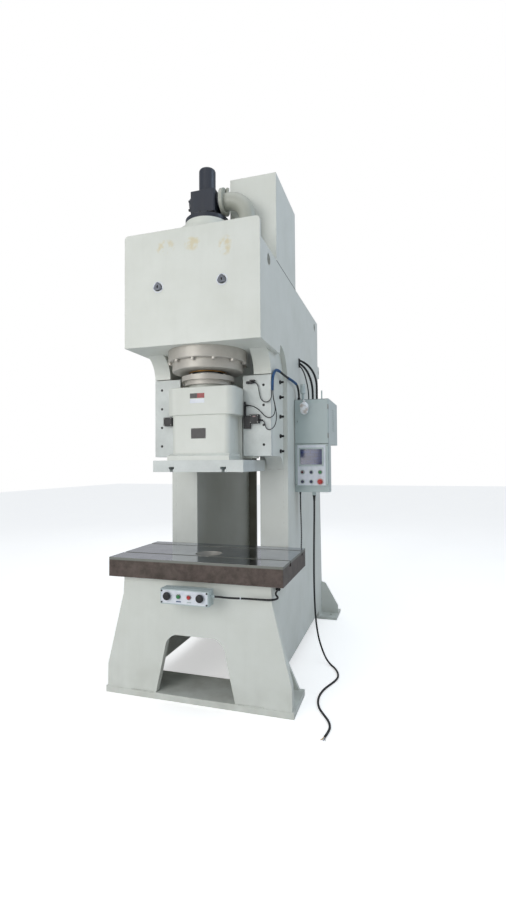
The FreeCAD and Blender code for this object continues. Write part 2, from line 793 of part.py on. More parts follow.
def cabinet_door():
    """Plain upper door with rounded edges and a small lock."""
    x0 = cabinet_x[0] + 4
    door = rounded_box(x0, door_hinge_x, door_hinge_y, cabinet_y[0] - 0.5, door_z[0], door_z[1], 2)
    lock = rod(11, (x0 + 22, door_hinge_y, 925), (x0 + 22, door_hinge_y - 5, 925))
    return door.fuse(lock).removeSplitter()


def operator_panel():
    """Lower front panel with the screen's frame and a collar round each control."""
    x0, x1 = cabinet_x
    panel = rounded_box(x0 + 4, x1 - 4, panel_front_y, cabinet_y[0], panel_z[0], panel_z[1], 3)
    frame = box(screen_x[0], screen_x[1], panel_front_y - 5, panel_front_y, screen_z[0], screen_z[1])
    glass = box(screen_x[0] + 11, screen_x[1] - 11, panel_front_y - 6, panel_front_y - 3.5,
                screen_z[0] + 11, screen_z[1] - 11)
    solid = panel.fuse(frame).removeSplitter().cut(glass)
    collars = []
    for x in panel_columns:
        for z in panel_rows:
            collars.append(rod(15, (x, panel_front_y - collar_height, z), (x, panel_front_y, z)))
    lamp_x = panel_columns[0]
    lens = rod(10, (lamp_x, panel_front_y - 12, panel_rows[0]), (lamp_x, panel_front_y, panel_rows[0]))
    solid = solid.fuse(collars + [lens]).removeSplitter()
    for x, z in panel_controls:
        solid = stud_hole(solid, x, panel_front_y, z)
    ready_x, ready_z = panel_controls[1]
    return cap_recess(solid, ready_x, panel_front_y, ready_z)


def stud_hole(solid, x, y, z):
    """Hole for the stud of a control, through its collar and 12 deep."""
    return solid.cut(rod(stud_hole_r, (x, y - collar_height - 1, z), (x, y + 12, z)))


def cap_recess(solid, x, y, z):
    """Room inside a collar for the cap of a small push button."""
    return solid.cut(rod(button_cap_r + 0.4, (x, y - collar_height - 1, z), (x, y, z)))


def push_button(x, y, z):
    """Small push button: its cap runs inside the collar, its stud in the hole."""
    back = y - button_travel - 1
    cap = rod(button_cap_r, (x, back, z), (x, back - 8, z))
    cap = cap.makeFillet(1.5, [e for e in cap.Edges if e.BoundBox.YMax < back - 7.9])
    stud = rod(stud_hole_r - 0.1, (x, back, z), (x, y + 7, z))
    return cap.fuse(stud).removeSplitter()


def mushroom_button(x, y, z, cap_r, cap_length, dome):
    """Mushroom button: a wide domed cap in front of its collar, and a stud in the hole."""
    back = y - collar_height - button_travel - 1
    cap = rod(cap_r, (x, back, z), (x, back - cap_length, z))
    cap = cap.makeFillet(dome, [e for e in cap.Edges if e.BoundBox.YMax < back - cap_length + 0.1])
    stud = rod(stud_hole_r - 0.1, (x, back, z), (x, y + 7, z))
    return cap.fuse(stud).removeSplitter()


def selector(x, y, z):
    """Selector switch: a disc with a finger grip, and a stud in its hole."""
    disc = rod(11, (x, y - 0.3, z), (x, y - 6, z))
    grip = rounded_box(x - 3.5, x + 3.5, y - 17, y - 6, z - 10.5, z + 10.5, 1)
    stud = rod(stud_hole_r - 0.1, (x, y - 0.3, z), (x, y + 7, z))
    return disc.fuse([grip, stud]).removeSplitter()


# Control box

def control_box():
    """Box for two-hand operation, on a bracket under the bolster."""
    z0, z1 = box_z
    half = box_half_width
    body = rounded_box(-half, half, box_front_y, box_back_y, z0, z1, 4)
    bracket = box(-90, 90, box_back_y, base_front_y, -205, -165)
    gland = rod(9, (half, box_gland_y, box_gland_z), (half + 22, box_gland_y, box_gland_z))
    solid = body.fuse([bracket, gland]).removeSplitter()
    for x in box_buttons:
        reach = 19 if abs(x) > 100 else 14
        face = (x, box_front_y, box_button_z)
        solid = solid.fuse(rod(reach, (x, box_front_y - collar_height, box_button_z), face))
    solid = solid.removeSplitter()
    for x in box_buttons:
        solid = stud_hole(solid, x, box_front_y, box_button_z)
    for x in box_buttons[1:3]:
        solid = cap_recess(solid, x, box_front_y, box_button_z)
    return solid


# Cables

def cabinet_conduits():
    """Cables between the frame and the cabinet, and the sleeved one to the guides."""
    top = cabinet_z[1]
    start = frame_half_width + 6
    outer = cord("outer hose", 16, [
        (start, 798, hose_exit_z[0]), (499, 798, 1422), (536, 798, 1394), (570, 799, 1352),
        (595, 800, 1298), (607, 800, 1232), (606, 800, 1163), (606, 800, top)])
    middle = cord("middle hose", 16, [
        (start, 798, hose_exit_z[1]), (495, 798, 1391), (521, 798, 1359), (544, 798, 1316),
        (562, 798, 1262), (572, 798, 1205), (574, 798, 1149), (574, 798, top)])
    thin = cord("thin hose", 10, [
        (start, 798, hose_exit_z[2]), (487, 798, 1370), (503, 798, 1339), (516, 798, 1297),
        (527, 798, 1250), (536, 798, 1201), (541, 798, 1148), (541, 798, top)])
    lower = cord("lower hose", 10, [
        (hose_elbow_x, 700, cabinet_z[0]), (hose_elbow_x, 700, 290), (489, 700, 180), (492, 700, 65),
        (490, 700, -40), (hose_elbow_x, 700, -115), (hose_elbow_x, 700, hose_elbow_z + 30)])
    sleeved = cord("sleeved cable", 16, [
        (441, 44, 1090), (441, 44, 1130), (441, 52, 1174), (443, 76, 1212), (446, 116, 1238),
        (450, 176, 1244), (461, 265, 1231), (472, 355, 1222), (481, 448, 1218), (487, 543, 1212),
        (488, 602, 1204), (488, 637, 1184), (488, 658, 1157), (488, 668, 1125), (488, 668, top)])
    elbow = rod(10, (hose_elbow_x, 700, hose_elbow_z - 10), (hose_elbow_x, 700, hose_elbow_z + 30))
    elbow = elbow.fuse(rod(9, (frame_half_width, 700, hose_elbow_z), (hose_elbow_x, 700, hose_elbow_z)))
    hoses = []
    for hose, z, radius in zip((outer, middle, thin), hose_exit_z, (11, 11, 8)):
        collar = rod(radius, (frame_half_width, 798, z), (start + 2, 798, z))
        hoses.append(hose.fuse(collar).removeSplitter())
    return hoses + [lower, sleeved, elbow.removeSplitter()]


def sensor_cables():
    """Thin leads from the sensors to the end of the sleeved cable."""
    upper = cord("upper sensor lead", 6, [
        (437, 38, 1090), (437, 38, 1068), (436, 37, 1044), (427, 36, 1024), (410, 36, 1013),
        (390, 36, 1012), (371, 36, 1023), (357, 36, 1047), (350, 36, 1086), (345, 36, 1120),
        (334, 36, 1139), (318, 36, 1148), (300, 36, 1148)])
    middle = cord("middle sensor lead", 6, [
        (444, 44, 1090), (444, 44, 1042), (457, 41, 995), (461, 38, 950), (449, 36, 918),
        (420, 36, 905), (390, 37, 917), (366, 38, 943), (341, 40, 968),
        (312, 40, 987), (283, 40, 995), (253.5, 40, 995)])
    lower = cord("lower sensor lead", 6, [
        (446, 38, 1090), (446, 38, 1046), (462, 34, 985), (472, 32, 920), (466, 32, 872),
        (455, 32, 848), (437, 32, 831), (414, 32, 826), (397, 33, 839), (393, 34, 861),
        (385, 36, 880), (369, 36, 893), (350, 36, 893)])
    return [upper, middle, lower]


def box_cable():
    """Lead of the control box, round the right edge of the base front to an elbow."""
    lead = cord("box lead", 12, [
        (box_half_width + 22, box_gland_y, box_gland_z), (210, box_gland_y, box_gland_z), (243, -336, -190),
        (277, -314, -196), (312, -288, -202), (352, -267, -206), (400, -258, -208), (446, -256, -208),
        (486, -258, -207), (513, -249, -206), (530, -227, -206), (531, -199, -206), (519, -170, -206),
        (502, -138, -207), (491, -101, -207), (486, -64, -207), (box_elbow_x, -31, -207),
        (box_elbow_x, box_elbow_y - 23, -207)])
    elbow = rod(9, (box_elbow_x, box_elbow_y - 23, -207), (box_elbow_x, box_elbow_y + 9, -207))
    elbow = elbow.fuse(rod(8, (frame_half_width, box_elbow_y, -207), (box_elbow_x, box_elbow_y, -207)))
    return [lead, elbow.removeSplitter()]


def supply_cable():
    """Supply lead: hangs from the cabinet to the floor and lies in loose bends."""
    on_floor = floor_z + supply_diameter / 2
    return cord("supply cable", supply_diameter, [
        (supply_x, supply_y, cabinet_z[0] - 24), (supply_x, supply_y, 240), (600, 650, 60), (597, 649, -140),
        (597, 648, -330), (601, 647, -480), (610, 645, -610), (628, 642, -720), (656, 634, -802),
        (690, 616, -864), (727, 584, on_floor), (763, 536, on_floor), (793, 470, on_floor),
        (808, 396, on_floor), (796, 325, on_floor), (768, 254, on_floor), (741, 180, on_floor),
        (726, 95, on_floor), (729, 5, on_floor), (752, -78, on_floor), (793, -148, on_floor),
        (830, -208, on_floor), (849, -272, on_floor), (843, -334, on_floor), (834, -376, on_floor)])


def build():
    os.makedirs("parts", exist_ok=True)
    for name, make in (("side_plate", side_plate), ("column", column),
                       ("guide_bracket", guide_bracket), ("guide_plate", guide_plate)):
        right = make()
        save(f"{name}_right", right)
        save(f"{name}_left", mirrored(right))
    single_parts = (rear_plate, head_cover, base_front, front_foot, rear_foot, table_plate, bolster,
                    bolster_bolts, clamp_ring, ring_bolts, gland_ring, cylinder_barrel, cylinder_cap,
                    ram, ram_flange, slide_body, slide_plate, guide_screws, rear_gibs, gib_liners,
                    limit_switches, valve_body, valve_cap, valve_screws, prefill_poppet, suction_elbow,
                    oil_tank, pump_motor, pump, pump_shaft, cabinet_shell, cabinet_door, operator_panel,
                    control_box, cabinet_conduits, sensor_cables, box_cable, supply_cable)
    for make in single_parts:
        save(make.__name__, make())
    save("head_bottom", head_plate(head_bottom_z))
    save("head_top", head_plate(head_top_z - deck))
    save("gland_bush", ring(bush_r, ram_r + running_gap, gland_bottom_z - 6, clamp_ring_bottom_z))
    save("head_lock_left", head_lock(-lock_x))
    save("head_lock_right", head_lock(lock_x))
    left, green, red, right = box_buttons
    save("palm_button_left", mushroom_button(left, box_front_y, box_button_z, 24, 17, 12))
    save("palm_button_right", mushroom_button(right, box_front_y, box_button_z, 24, 17, 12))
    save("start_button", push_button(green, box_front_y, box_button_z))
    save("stop_button", push_button(red, box_front_y, box_button_z))
    mode_place, ready_place, stroke_place, light_place, stop_place = panel_controls
    collar_front_y = panel_front_y - collar_height
    save("mode_selector", selector(mode_place[0], collar_front_y, mode_place[1]))
    save("stroke_selector", selector(stroke_place[0], collar_front_y, stroke_place[1]))
    save("light_selector", selector(light_place[0], collar_front_y, light_place[1]))
    save("ready_button", push_button(ready_place[0], panel_front_y, ready_place[1]))
    save("emergency_stop", mushroom_button(stop_place[0], panel_front_y, stop_place[1], 18, 14, 6))


build()
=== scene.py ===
import bpy, bmesh, math, random
from mathutils import Matrix, Vector


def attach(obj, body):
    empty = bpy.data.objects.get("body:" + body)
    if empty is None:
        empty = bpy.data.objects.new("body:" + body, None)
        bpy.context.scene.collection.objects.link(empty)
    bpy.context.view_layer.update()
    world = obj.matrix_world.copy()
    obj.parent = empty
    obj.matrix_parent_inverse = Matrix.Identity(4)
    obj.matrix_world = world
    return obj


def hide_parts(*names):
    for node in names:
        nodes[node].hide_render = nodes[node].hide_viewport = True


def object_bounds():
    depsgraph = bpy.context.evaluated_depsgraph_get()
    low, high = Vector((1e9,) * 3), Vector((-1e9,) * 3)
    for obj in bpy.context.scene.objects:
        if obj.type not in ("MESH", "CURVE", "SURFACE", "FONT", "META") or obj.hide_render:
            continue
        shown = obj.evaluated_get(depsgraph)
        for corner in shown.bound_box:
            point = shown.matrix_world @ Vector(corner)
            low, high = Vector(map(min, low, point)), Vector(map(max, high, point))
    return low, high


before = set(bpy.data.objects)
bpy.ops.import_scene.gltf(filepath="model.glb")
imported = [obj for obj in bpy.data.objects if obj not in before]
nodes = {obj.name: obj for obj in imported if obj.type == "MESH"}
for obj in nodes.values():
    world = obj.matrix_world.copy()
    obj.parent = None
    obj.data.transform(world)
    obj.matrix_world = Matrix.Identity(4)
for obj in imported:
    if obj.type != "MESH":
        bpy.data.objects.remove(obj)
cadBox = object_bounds()
floorHeight = cadBox[0][2]
print("frame loaded:", len(nodes), "nodes, floor at", round(floorHeight, 4))


# Small helpers for nodes and colours
def fillInputs(tree, made, inputs):
    # a socket is linked, anything else becomes the input's own value
    for key, value in inputs.items():
        if isinstance(value, bpy.types.NodeSocket):
            tree.links.new(value, made.inputs[key])
        else:
            made.inputs[key].default_value = value
    return made


def addNode(tree, kind, inputs=None, **settings):
    made = tree.nodes.new(kind)
    for key, value in settings.items():
        setattr(made, key, value)
    return fillInputs(tree, made, inputs or {})


def shade(r, g, b):
    # display colour from 0 to 255, as a linear one
    def toLinear(c):
        c = c / 255
        return c / 12.92 if c <= 0.04045 else ((c + 0.055) / 1.055) ** 2.4
    return (toLinear(r), toLinear(g), toLinear(b), 1.0)


def mathNode(tree, operation, a, b=0.0, clamp=False):
    return addNode(tree, "ShaderNodeMath", {0: a, 1: b}, operation=operation, use_clamp=clamp).outputs[0]


def times(tree, a, b, clamp=False):
    return mathNode(tree, "MULTIPLY", a, b, clamp)


def plus(tree, a, b):
    return mathNode(tree, "ADD", a, b)


def mixColour(tree, factor, a, b):
    return addNode(tree, "ShaderNodeMix", {0: factor, 6: a, 7: b}, data_type="RGBA").outputs[2]


def ramp(tree, value, low, high):
    return addNode(tree, "ShaderNodeMapRange", {"Value": value, "From Min": low, "From Max": high}).outputs[0]


def noiseOf(tree, place, scale, detail, **more):
    inputs = {"Vector": place, "Scale": scale, "Detail": detail, **more}
    return addNode(tree, "ShaderNodeTexNoise", inputs).outputs["Fac"]


def objectPlace(tree):
    return addNode(tree, "ShaderNodeTexCoord").outputs["Object"]


def surfaceNormal(tree):
    return addNode(tree, "ShaderNodeNewGeometry").outputs["Normal"]


def axisOf(tree, vector, axis):
    return addNode(tree, "ShaderNodeSeparateXYZ", {0: vector}).outputs[axis]


def startTree(name, treeKind, inputs, outputs):
    # an input's kind follows from its starting value; a word is the kind of one that has none
    tree = bpy.data.node_groups.new(name, treeKind)
    kinds = {float: "Float", int: "Int", tuple: "Vector"}
    for label, value in inputs.items():
        kind = value if isinstance(value, str) else kinds[type(value)]
        made = tree.interface.new_socket(label, in_out="INPUT", socket_type="NodeSocket" + kind)
        if kind != value:
            made.default_value = value
    for label, kind in outputs.items():
        tree.interface.new_socket(label, in_out="OUTPUT", socket_type="NodeSocket" + kind)
    return tree, tree.nodes.new("NodeGroupInput").outputs, tree.nodes.new("NodeGroupOutput").inputs


def newGroup(name, inputs, masks):
    return startTree(name, "ShaderNodeTree", inputs, {label: "Float" for label in masks})


def useGroup(tree, group, **values):
    inputs = {label.replace("_", " "): value for label, value in values.items()}
    return addNode(tree, "ShaderNodeGroup", inputs, node_tree=group).outputs


# Effects that several materials share
def makeEdgeWear():
    # where a bevel of the given size would turn the surface, broken up by noise
    tree, given, out = newGroup("edgeWear", {"Size": 0.003, "Amount": 1.0, "Breakup": 30.0}, ["Mask"])
    turned = addNode(tree, "ShaderNodeBevel", {"Radius": given["Size"]}, samples=4).outputs[0]
    flat = addNode(tree, "ShaderNodeNewGeometry").outputs["True Normal"]
    same = addNode(tree, "ShaderNodeVectorMath", {0: turned, 1: flat}, operation="DOT_PRODUCT").outputs["Value"]
    broken = ramp(tree, noiseOf(tree, objectPlace(tree), given["Breakup"], 5.0), 0.46, 0.62)
    edge = times(tree, ramp(tree, same, 0.995, 0.86), broken)
    tree.links.new(times(tree, edge, given["Amount"], True), out["Mask"])
    return tree


def makePaintGrain():
    # slow change of tone, faint runs and the fine orange peel of sprayed paint
    tree, given, out = newGroup("paintGrain", {"Peel Size": 260.0, "Cloud Size": 2.2}, ["Tone", "Height", "Streak"])
    place = objectPlace(tree)
    clouds = noiseOf(tree, place, given["Cloud Size"], 6.0, Roughness=0.6)
    peel = noiseOf(tree, place, given["Peel Size"], 2.0)
    stretched = addNode(tree, "ShaderNodeMapping", {"Vector": place, "Scale": (14.0, 14.0, 0.9)}).outputs[0]
    tree.links.new(ramp(tree, clouds, 0.32, 0.68), out["Tone"])
    tree.links.new(peel, out["Height"])
    tree.links.new(ramp(tree, noiseOf(tree, stretched, 1.6, 4.0), 0.5, 0.72), out["Streak"])
    return tree


def makeSettledDust():
    # dust on what faces up, and a band of dirt above the floor
    tree, given, out = newGroup("settledDust", {"Amount": 0.5, "Floor": floorHeight, "Band": 0.25}, ["Top", "Low"])
    place = objectPlace(tree)
    up = ramp(tree, axisOf(tree, surfaceNormal(tree), 2), 0.35, 0.95)
    patch = ramp(tree, noiseOf(tree, place, 9.0, 7.0), 0.35, 0.65)
    rise = mathNode(tree, "SUBTRACT", axisOf(tree, place, 2), given["Floor"])
    near = mathNode(tree, "SUBTRACT", 1.0, mathNode(tree, "DIVIDE", rise, given["Band"]), True)
    for where, label in ((up, "Top"), (near, "Low")):
        tree.links.new(times(tree, times(tree, where, patch), given["Amount"], True), out[label])
    return tree


def makeToolMarks():
    # fine parallel lines left by a cutter or a grinding wheel
    tree, given, out = newGroup("toolMarks", {"Stretch": (4.0, 400.0, 400.0), "Fineness": 1.0}, ["Line", "Blotch"])
    place = objectPlace(tree)
    pulled = addNode(tree, "ShaderNodeVectorMath", {0: place, 1: given["Stretch"]}, operation="MULTIPLY").outputs[0]
    tree.links.new(noiseOf(tree, pulled, given["Fineness"], 3.0), out["Line"])
    tree.links.new(ramp(tree, noiseOf(tree, place, 7.0, 7.0, Roughness=0.65), 0.3, 0.7), out["Blotch"])
    return tree


edgeWear = makeEdgeWear()
paintGrain = makePaintGrain()
settledDust = makeSettledDust()
toolMarks = makeToolMarks()


# Materials, one function for each kind of finish; colours are display values from 0 to 255
def newMaterial(name, **sockets):
    made = bpy.data.materials.new(name)
    made.use_nodes = True
    shader = made.node_tree.nodes["Principled BSDF"]
    for key, value in sockets.items():
        shader.inputs[key.replace("_", " ")].default_value = value
    return made, made.node_tree, shader


def bumpInto(tree, shader, height, strength, distance=0.001):
    made = addNode(tree, "ShaderNodeBump", {"Height": height, "Strength": strength, "Distance": distance})
    tree.links.new(made.outputs[0], shader.inputs["Normal"])


bareMetal = (132, 128, 122)
grime = {"streak": (120, 112, 96), "glue": (206, 188, 132), "dust": (150, 143, 128), "floorDirt": (96, 88, 76)}


def paintMaterial(name, base, low, bare=bareMetal, rough=0.42, wear=0.5, dirt=0.5, peel=0.12, coat=0.1, stains=()):
    # sprayed paint: cloudy tone, streaks, dust, floor dirt and bare metal where an edge is knocked
    made, tree, shader = newMaterial(name, Coat_Roughness=0.3, Coat_Weight=coat)
    grain = useGroup(tree, paintGrain)
    dust = useGroup(tree, settledDust, Amount=dirt)
    worn = useGroup(tree, edgeWear, Size=0.0035, Amount=wear)
    layers = [(times(tree, grain["Streak"], 0.10 * dirt), grime["streak"])]
    if stains:
        layers.append((stainMask(tree, stains), grime["glue"]))
    layers.append((times(tree, dust["Top"], 0.45), grime["dust"]))
    layers.append((times(tree, dust["Low"], 0.55), grime["floorDirt"]))
    layers.append((worn["Mask"], bare))
    colour = mixColour(tree, grain["Tone"], shade(*base), shade(*low))
    for mask, over in layers:
        colour = mixColour(tree, mask, colour, shade(*over))
    roughness = plus(tree, rough - 0.05, times(tree, grain["Tone"], 0.1))
    roughness = plus(tree, roughness, times(tree, dust["Top"], 0.3))
    fillInputs(tree, shader, {"Base Color": colour, "Roughness": roughness})
    bumpInto(tree, shader, grain["Height"], peel)
    return made


def stainMask(tree, stains):
    # faint yellow glue marks on the front, each given as (x, z, half width, half height)
    place = objectPlace(tree)
    total = 0.0
    for x, z, halfWidth, halfHeight in stains:
        squares = []
        for axis, centre, half in ((0, x, halfWidth), (2, z, halfHeight)):
            away = mathNode(tree, "DIVIDE", mathNode(tree, "SUBTRACT", axisOf(tree, place, axis), centre), half)
            squares.append(mathNode(tree, "POWER", mathNode(tree, "ABSOLUTE", away), 2.0))
        total = plus(tree, total, ramp(tree, plus(tree, *squares), 1.0, 0.35))
    onFront = ramp(tree, axisOf(tree, place, 1), -0.297, -0.299)
    mask = times(tree, total, ramp(tree, noiseOf(tree, place, 22.0, 5.0), 0.46, 0.60))
    return times(tree, times(tree, mask, onFront), 0.55, True)


def steelMaterial(name, base, dark, rough, stretch, wear=0.3, bump=0.15, metallic=1.0):
    # blotches of tone, tool marks pulled along one way and brighter edges
    lineDepth = 0.12
    made, tree, shader = newMaterial(name, Metallic=metallic)
    marks = useGroup(tree, toolMarks, Stretch=stretch)
    worn = useGroup(tree, edgeWear, Size=0.002, Amount=wear)
    colour = mixColour(tree, marks["Blotch"], shade(*base), shade(*dark))
    fillInputs(tree, shader, {
        "Base Color": mixColour(tree, worn["Mask"], colour, (0.62, 0.62, 0.62, 1)),
        "Roughness": plus(tree, rough - lineDepth / 2, times(tree, marks["Line"], lineDepth))})
    bumpInto(tree, shader, marks["Line"], bump, 0.0004)
    return made


def plasticMaterial(name, base, dark, rough, grain=900.0, bump=0.15, coat=0.0):
    # moulded plastic, sheet or cable jacket with a fine grain and paler edges
    made, tree, shader = newMaterial(name, Coat_Roughness=0.15, Coat_Weight=coat)
    base = shade(*base)
    place = objectPlace(tree)
    slow = noiseOf(tree, place, 35.0, 5.0)
    worn = useGroup(tree, edgeWear, Size=0.001, Amount=0.35, Breakup=120.0)
    colour = mixColour(tree, ramp(tree, slow, 0.35, 0.65), base, shade(*dark))
    paler = [min(1, c * 1.6 + 0.03) for c in base[:3]] + [1]
    fillInputs(tree, shader, {
        "Base Color": mixColour(tree, worn["Mask"], colour, paler),
        "Roughness": plus(tree, rough - 0.06, times(tree, slow, 0.12))})
    bumpInto(tree, shader, noiseOf(tree, place, grain, 3.0), bump, 0.0002)
    return made


def bolsterMaterial():
    # ground, oiled top, bright bore and darker machined sides with handling marks
    tones = {"top": (188, 192, 202), "topDark": (160, 163, 176), "side": (92, 80, 76), "sideDark": (58, 50, 45),
             "milled": (122, 112, 104), "chamfer": (134, 138, 132), "bore": (186, 184, 178), "edge": (176, 178, 178)}
    tones = {part: shade(*tone) for part, tone in tones.items()}
    made, tree, shader = newMaterial("bolsterSteel")
    ground = useGroup(tree, toolMarks, Stretch=(3.0, 260.0, 40.0))
    milled = useGroup(tree, toolMarks, Stretch=(6.0, 6.0, 300.0))
    worn = useGroup(tree, edgeWear, Size=0.004, Amount=0.7)
    place = objectPlace(tree)
    top = ramp(tree, axisOf(tree, surfaceNormal(tree), 2), 0.6, 0.9)
    topColour = mixColour(tree, ground["Blotch"], tones["top"], tones["topDark"])
    rust = ramp(tree, noiseOf(tree, place, 16.0, 8.0, Roughness=0.7), 0.35, 0.65)
    across = addNode(tree, "ShaderNodeVectorMath", {0: place, 1: (1.0, 1.0, 0.0)}, operation="MULTIPLY").outputs[0]
    fromAxis = addNode(tree, "ShaderNodeVectorMath", {0: across}, operation="LENGTH").outputs["Value"]
    sideColour = mixColour(tree, rust, tones["side"], tones["sideDark"])
    for mask, over in ((times(tree, milled["Blotch"], 0.35), "milled"),
                       (times(tree, ramp(tree, axisOf(tree, place, 2), -0.019, -0.013), 0.75), "chamfer"),
                       (ramp(tree, fromAxis, 0.097, 0.093), "bore")):
        sideColour = mixColour(tree, mask, sideColour, tones[over])
    colour = mixColour(tree, top, sideColour, topColour)
    topRough = plus(tree, 0.07, times(tree, ground["Blotch"], 0.07))
    sideRough = times(tree, mathNode(tree, "SUBTRACT", 1.0, top), 0.5)
    fillInputs(tree, shader, {
        "Base Color": mixColour(tree, worn["Mask"], colour, tones["edge"]),
        "Metallic": plus(tree, 0.55, times(tree, top, 0.45)),
        "Roughness": plus(tree, times(tree, top, topRough), sideRough)})
    bumpInto(tree, shader, milled["Line"], 0.12, 0.0005)
    return made


def ramMaterial():
    # hard chrome on the running part, satin grey at the foot
    made, tree, shader = newMaterial("ramChrome")
    marks = useGroup(tree, toolMarks, Stretch=(3.0, 3.0, 500.0))
    worn = useGroup(tree, edgeWear, Size=0.002, Amount=0.3)
    chrome = ramp(tree, axisOf(tree, objectPlace(tree), 2), 1.186, 1.190)
    bright = mixColour(tree, marks["Blotch"], shade(226, 228, 228), shade(208, 210, 212))
    dull = mixColour(tree, marks["Blotch"], shade(198, 194, 186), shade(180, 176, 168))
    rough = mathNode(tree, "SUBTRACT", 0.42, times(tree, chrome, 0.32))
    fillInputs(tree, shader, {
        "Base Color": mixColour(tree, worn["Mask"], mixColour(tree, chrome, dull, bright), shade(214, 214, 212)),
        "Metallic": plus(tree, 0.3, times(tree, chrome, 0.7)),
        "Roughness": plus(tree, rough, times(tree, marks["Line"], 0.05))})
    bumpInto(tree, shader, marks["Line"], 0.04, 0.0004)
    return made


def screenMaterial():
    # dark glass with a few plain blocks of a resting display
    made, tree, shader = newMaterial("screenGlass", Roughness=0.12, Coat_Weight=0.6, Coat_Roughness=0.05,
                                     Emission_Strength=0.35)
    place = objectPlace(tree)
    scaled = addNode(tree, "ShaderNodeMapping", {
        "Vector": place, "Location": (0.3, 0, 0.2), "Scale": (21.0, 1.0, 34.0)}).outputs[0]
    flat = addNode(tree, "ShaderNodeCombineXYZ", {0: axisOf(tree, scaled, 0), 1: axisOf(tree, scaled, 2)}).outputs[0]
    tiles = addNode(tree, "ShaderNodeTexBrick", {
        "Vector": flat, "Color1": shade(44, 60, 112), "Color2": shade(36, 44, 76), "Mortar": shade(26, 30, 52),
        "Scale": 1.0, "Mortar Size": 0.05, "Brick Width": 1.4, "Row Height": 0.8}).outputs["Color"]
    colour = mixColour(tree, ramp(tree, noiseOf(tree, place, 12.0, 3.0), 0.3, 0.7), tiles, shade(34, 40, 70))
    fillInputs(tree, shader, {"Base Color": colour, "Emission Color": colour})
    return made


def filmMaterial():
    # crumpled clear packing film
    made, tree, shader = newMaterial("packingFilm")
    place = objectPlace(tree)
    crease = addNode(tree, "ShaderNodeTexVoronoi", {"Vector": place, "Scale": 55.0},
                     feature="DISTANCE_TO_EDGE").outputs[0]
    slow = noiseOf(tree, place, 40.0, 4.0)
    fillInputs(tree, shader, {
        "Base Color": mixColour(tree, ramp(tree, slow, 0.42, 0.62), shade(240, 242, 244), shade(196, 186, 178)),
        "Roughness": plus(tree, 0.2, times(tree, slow, 0.25))})
    bumpInto(tree, shader, crease, 0.8, 0.004)
    return made


headStains = [(-0.165, 1.985, 0.07, 0.055), (0.02, 1.985, 0.06, 0.05), (0.24, 1.945, 0.05, 0.07)]
paints = {
    "framePaint": dict(base=(219, 222, 216), low=(209, 212, 204), dirt=0.28, stains=headStains),
    # rear plate of the throat: the frame paint darkened to a grey-brown, painted shade of the deep throat between the
    # side plates
    "throatPaint": dict(base=(150, 147, 138), low=(128, 124, 114), dirt=0.4),
    "cabinetPaint": dict(base=(184, 197, 196), low=(174, 188, 187), bare=(120, 122, 122), rough=0.36, wear=0.3,
                         dirt=0.3, peel=0.2, coat=0.2),
    "valvePaint": dict(base=(44, 50, 62), low=(32, 36, 46), bare=(120, 118, 112), rough=0.4, wear=0.8, peel=0.3),
    "pipePaint": dict(base=(176, 178, 168), low=(160, 163, 152), dirt=0.7),
    "motorPaint": dict(base=(92, 104, 112), low=(78, 90, 98), dirt=0.8, peel=0.35),
    "castGrey": dict(base=(98, 98, 96), low=(78, 78, 76), rough=0.55, dirt=0.6, peel=0.6),
}
steels = {
    "groundSteel": dict(base=(196, 198, 196), dark=(160, 163, 162), rough=0.34, stretch=(6.0, 6.0, 260.0)),
    "ringSteel": dict(base=(198, 194, 186), dark=(180, 176, 168), rough=0.45, stretch=(3.0, 3.0, 420.0), metallic=0.3),
    "slideSteel": dict(base=(208, 213, 211), dark=(188, 193, 191), rough=0.5, stretch=(4.0, 4.0, 300.0), metallic=0.15),
    "lockChrome": dict(base=(104, 108, 116), dark=(62, 66, 74), rough=0.36, stretch=(60.0, 60.0, 60.0), bump=0.05,
                       metallic=0.5),
    "armour": dict(base=(188, 186, 182), dark=(140, 136, 130), rough=0.4, stretch=(200.0, 200.0, 60.0), metallic=0.7),
    "bronze": dict(base=(196, 150, 84), dark=(160, 114, 60), rough=0.33, stretch=(4.0, 4.0, 300.0)),
    "zinc": dict(base=(176, 178, 176), dark=(132, 132, 130), rough=0.36, stretch=(90.0, 90.0, 90.0), bump=0.1),
    "blackOxide": dict(base=(58, 58, 58), dark=(34, 34, 34), rough=0.42, stretch=(120.0, 120.0, 120.0), metallic=0.7),
}
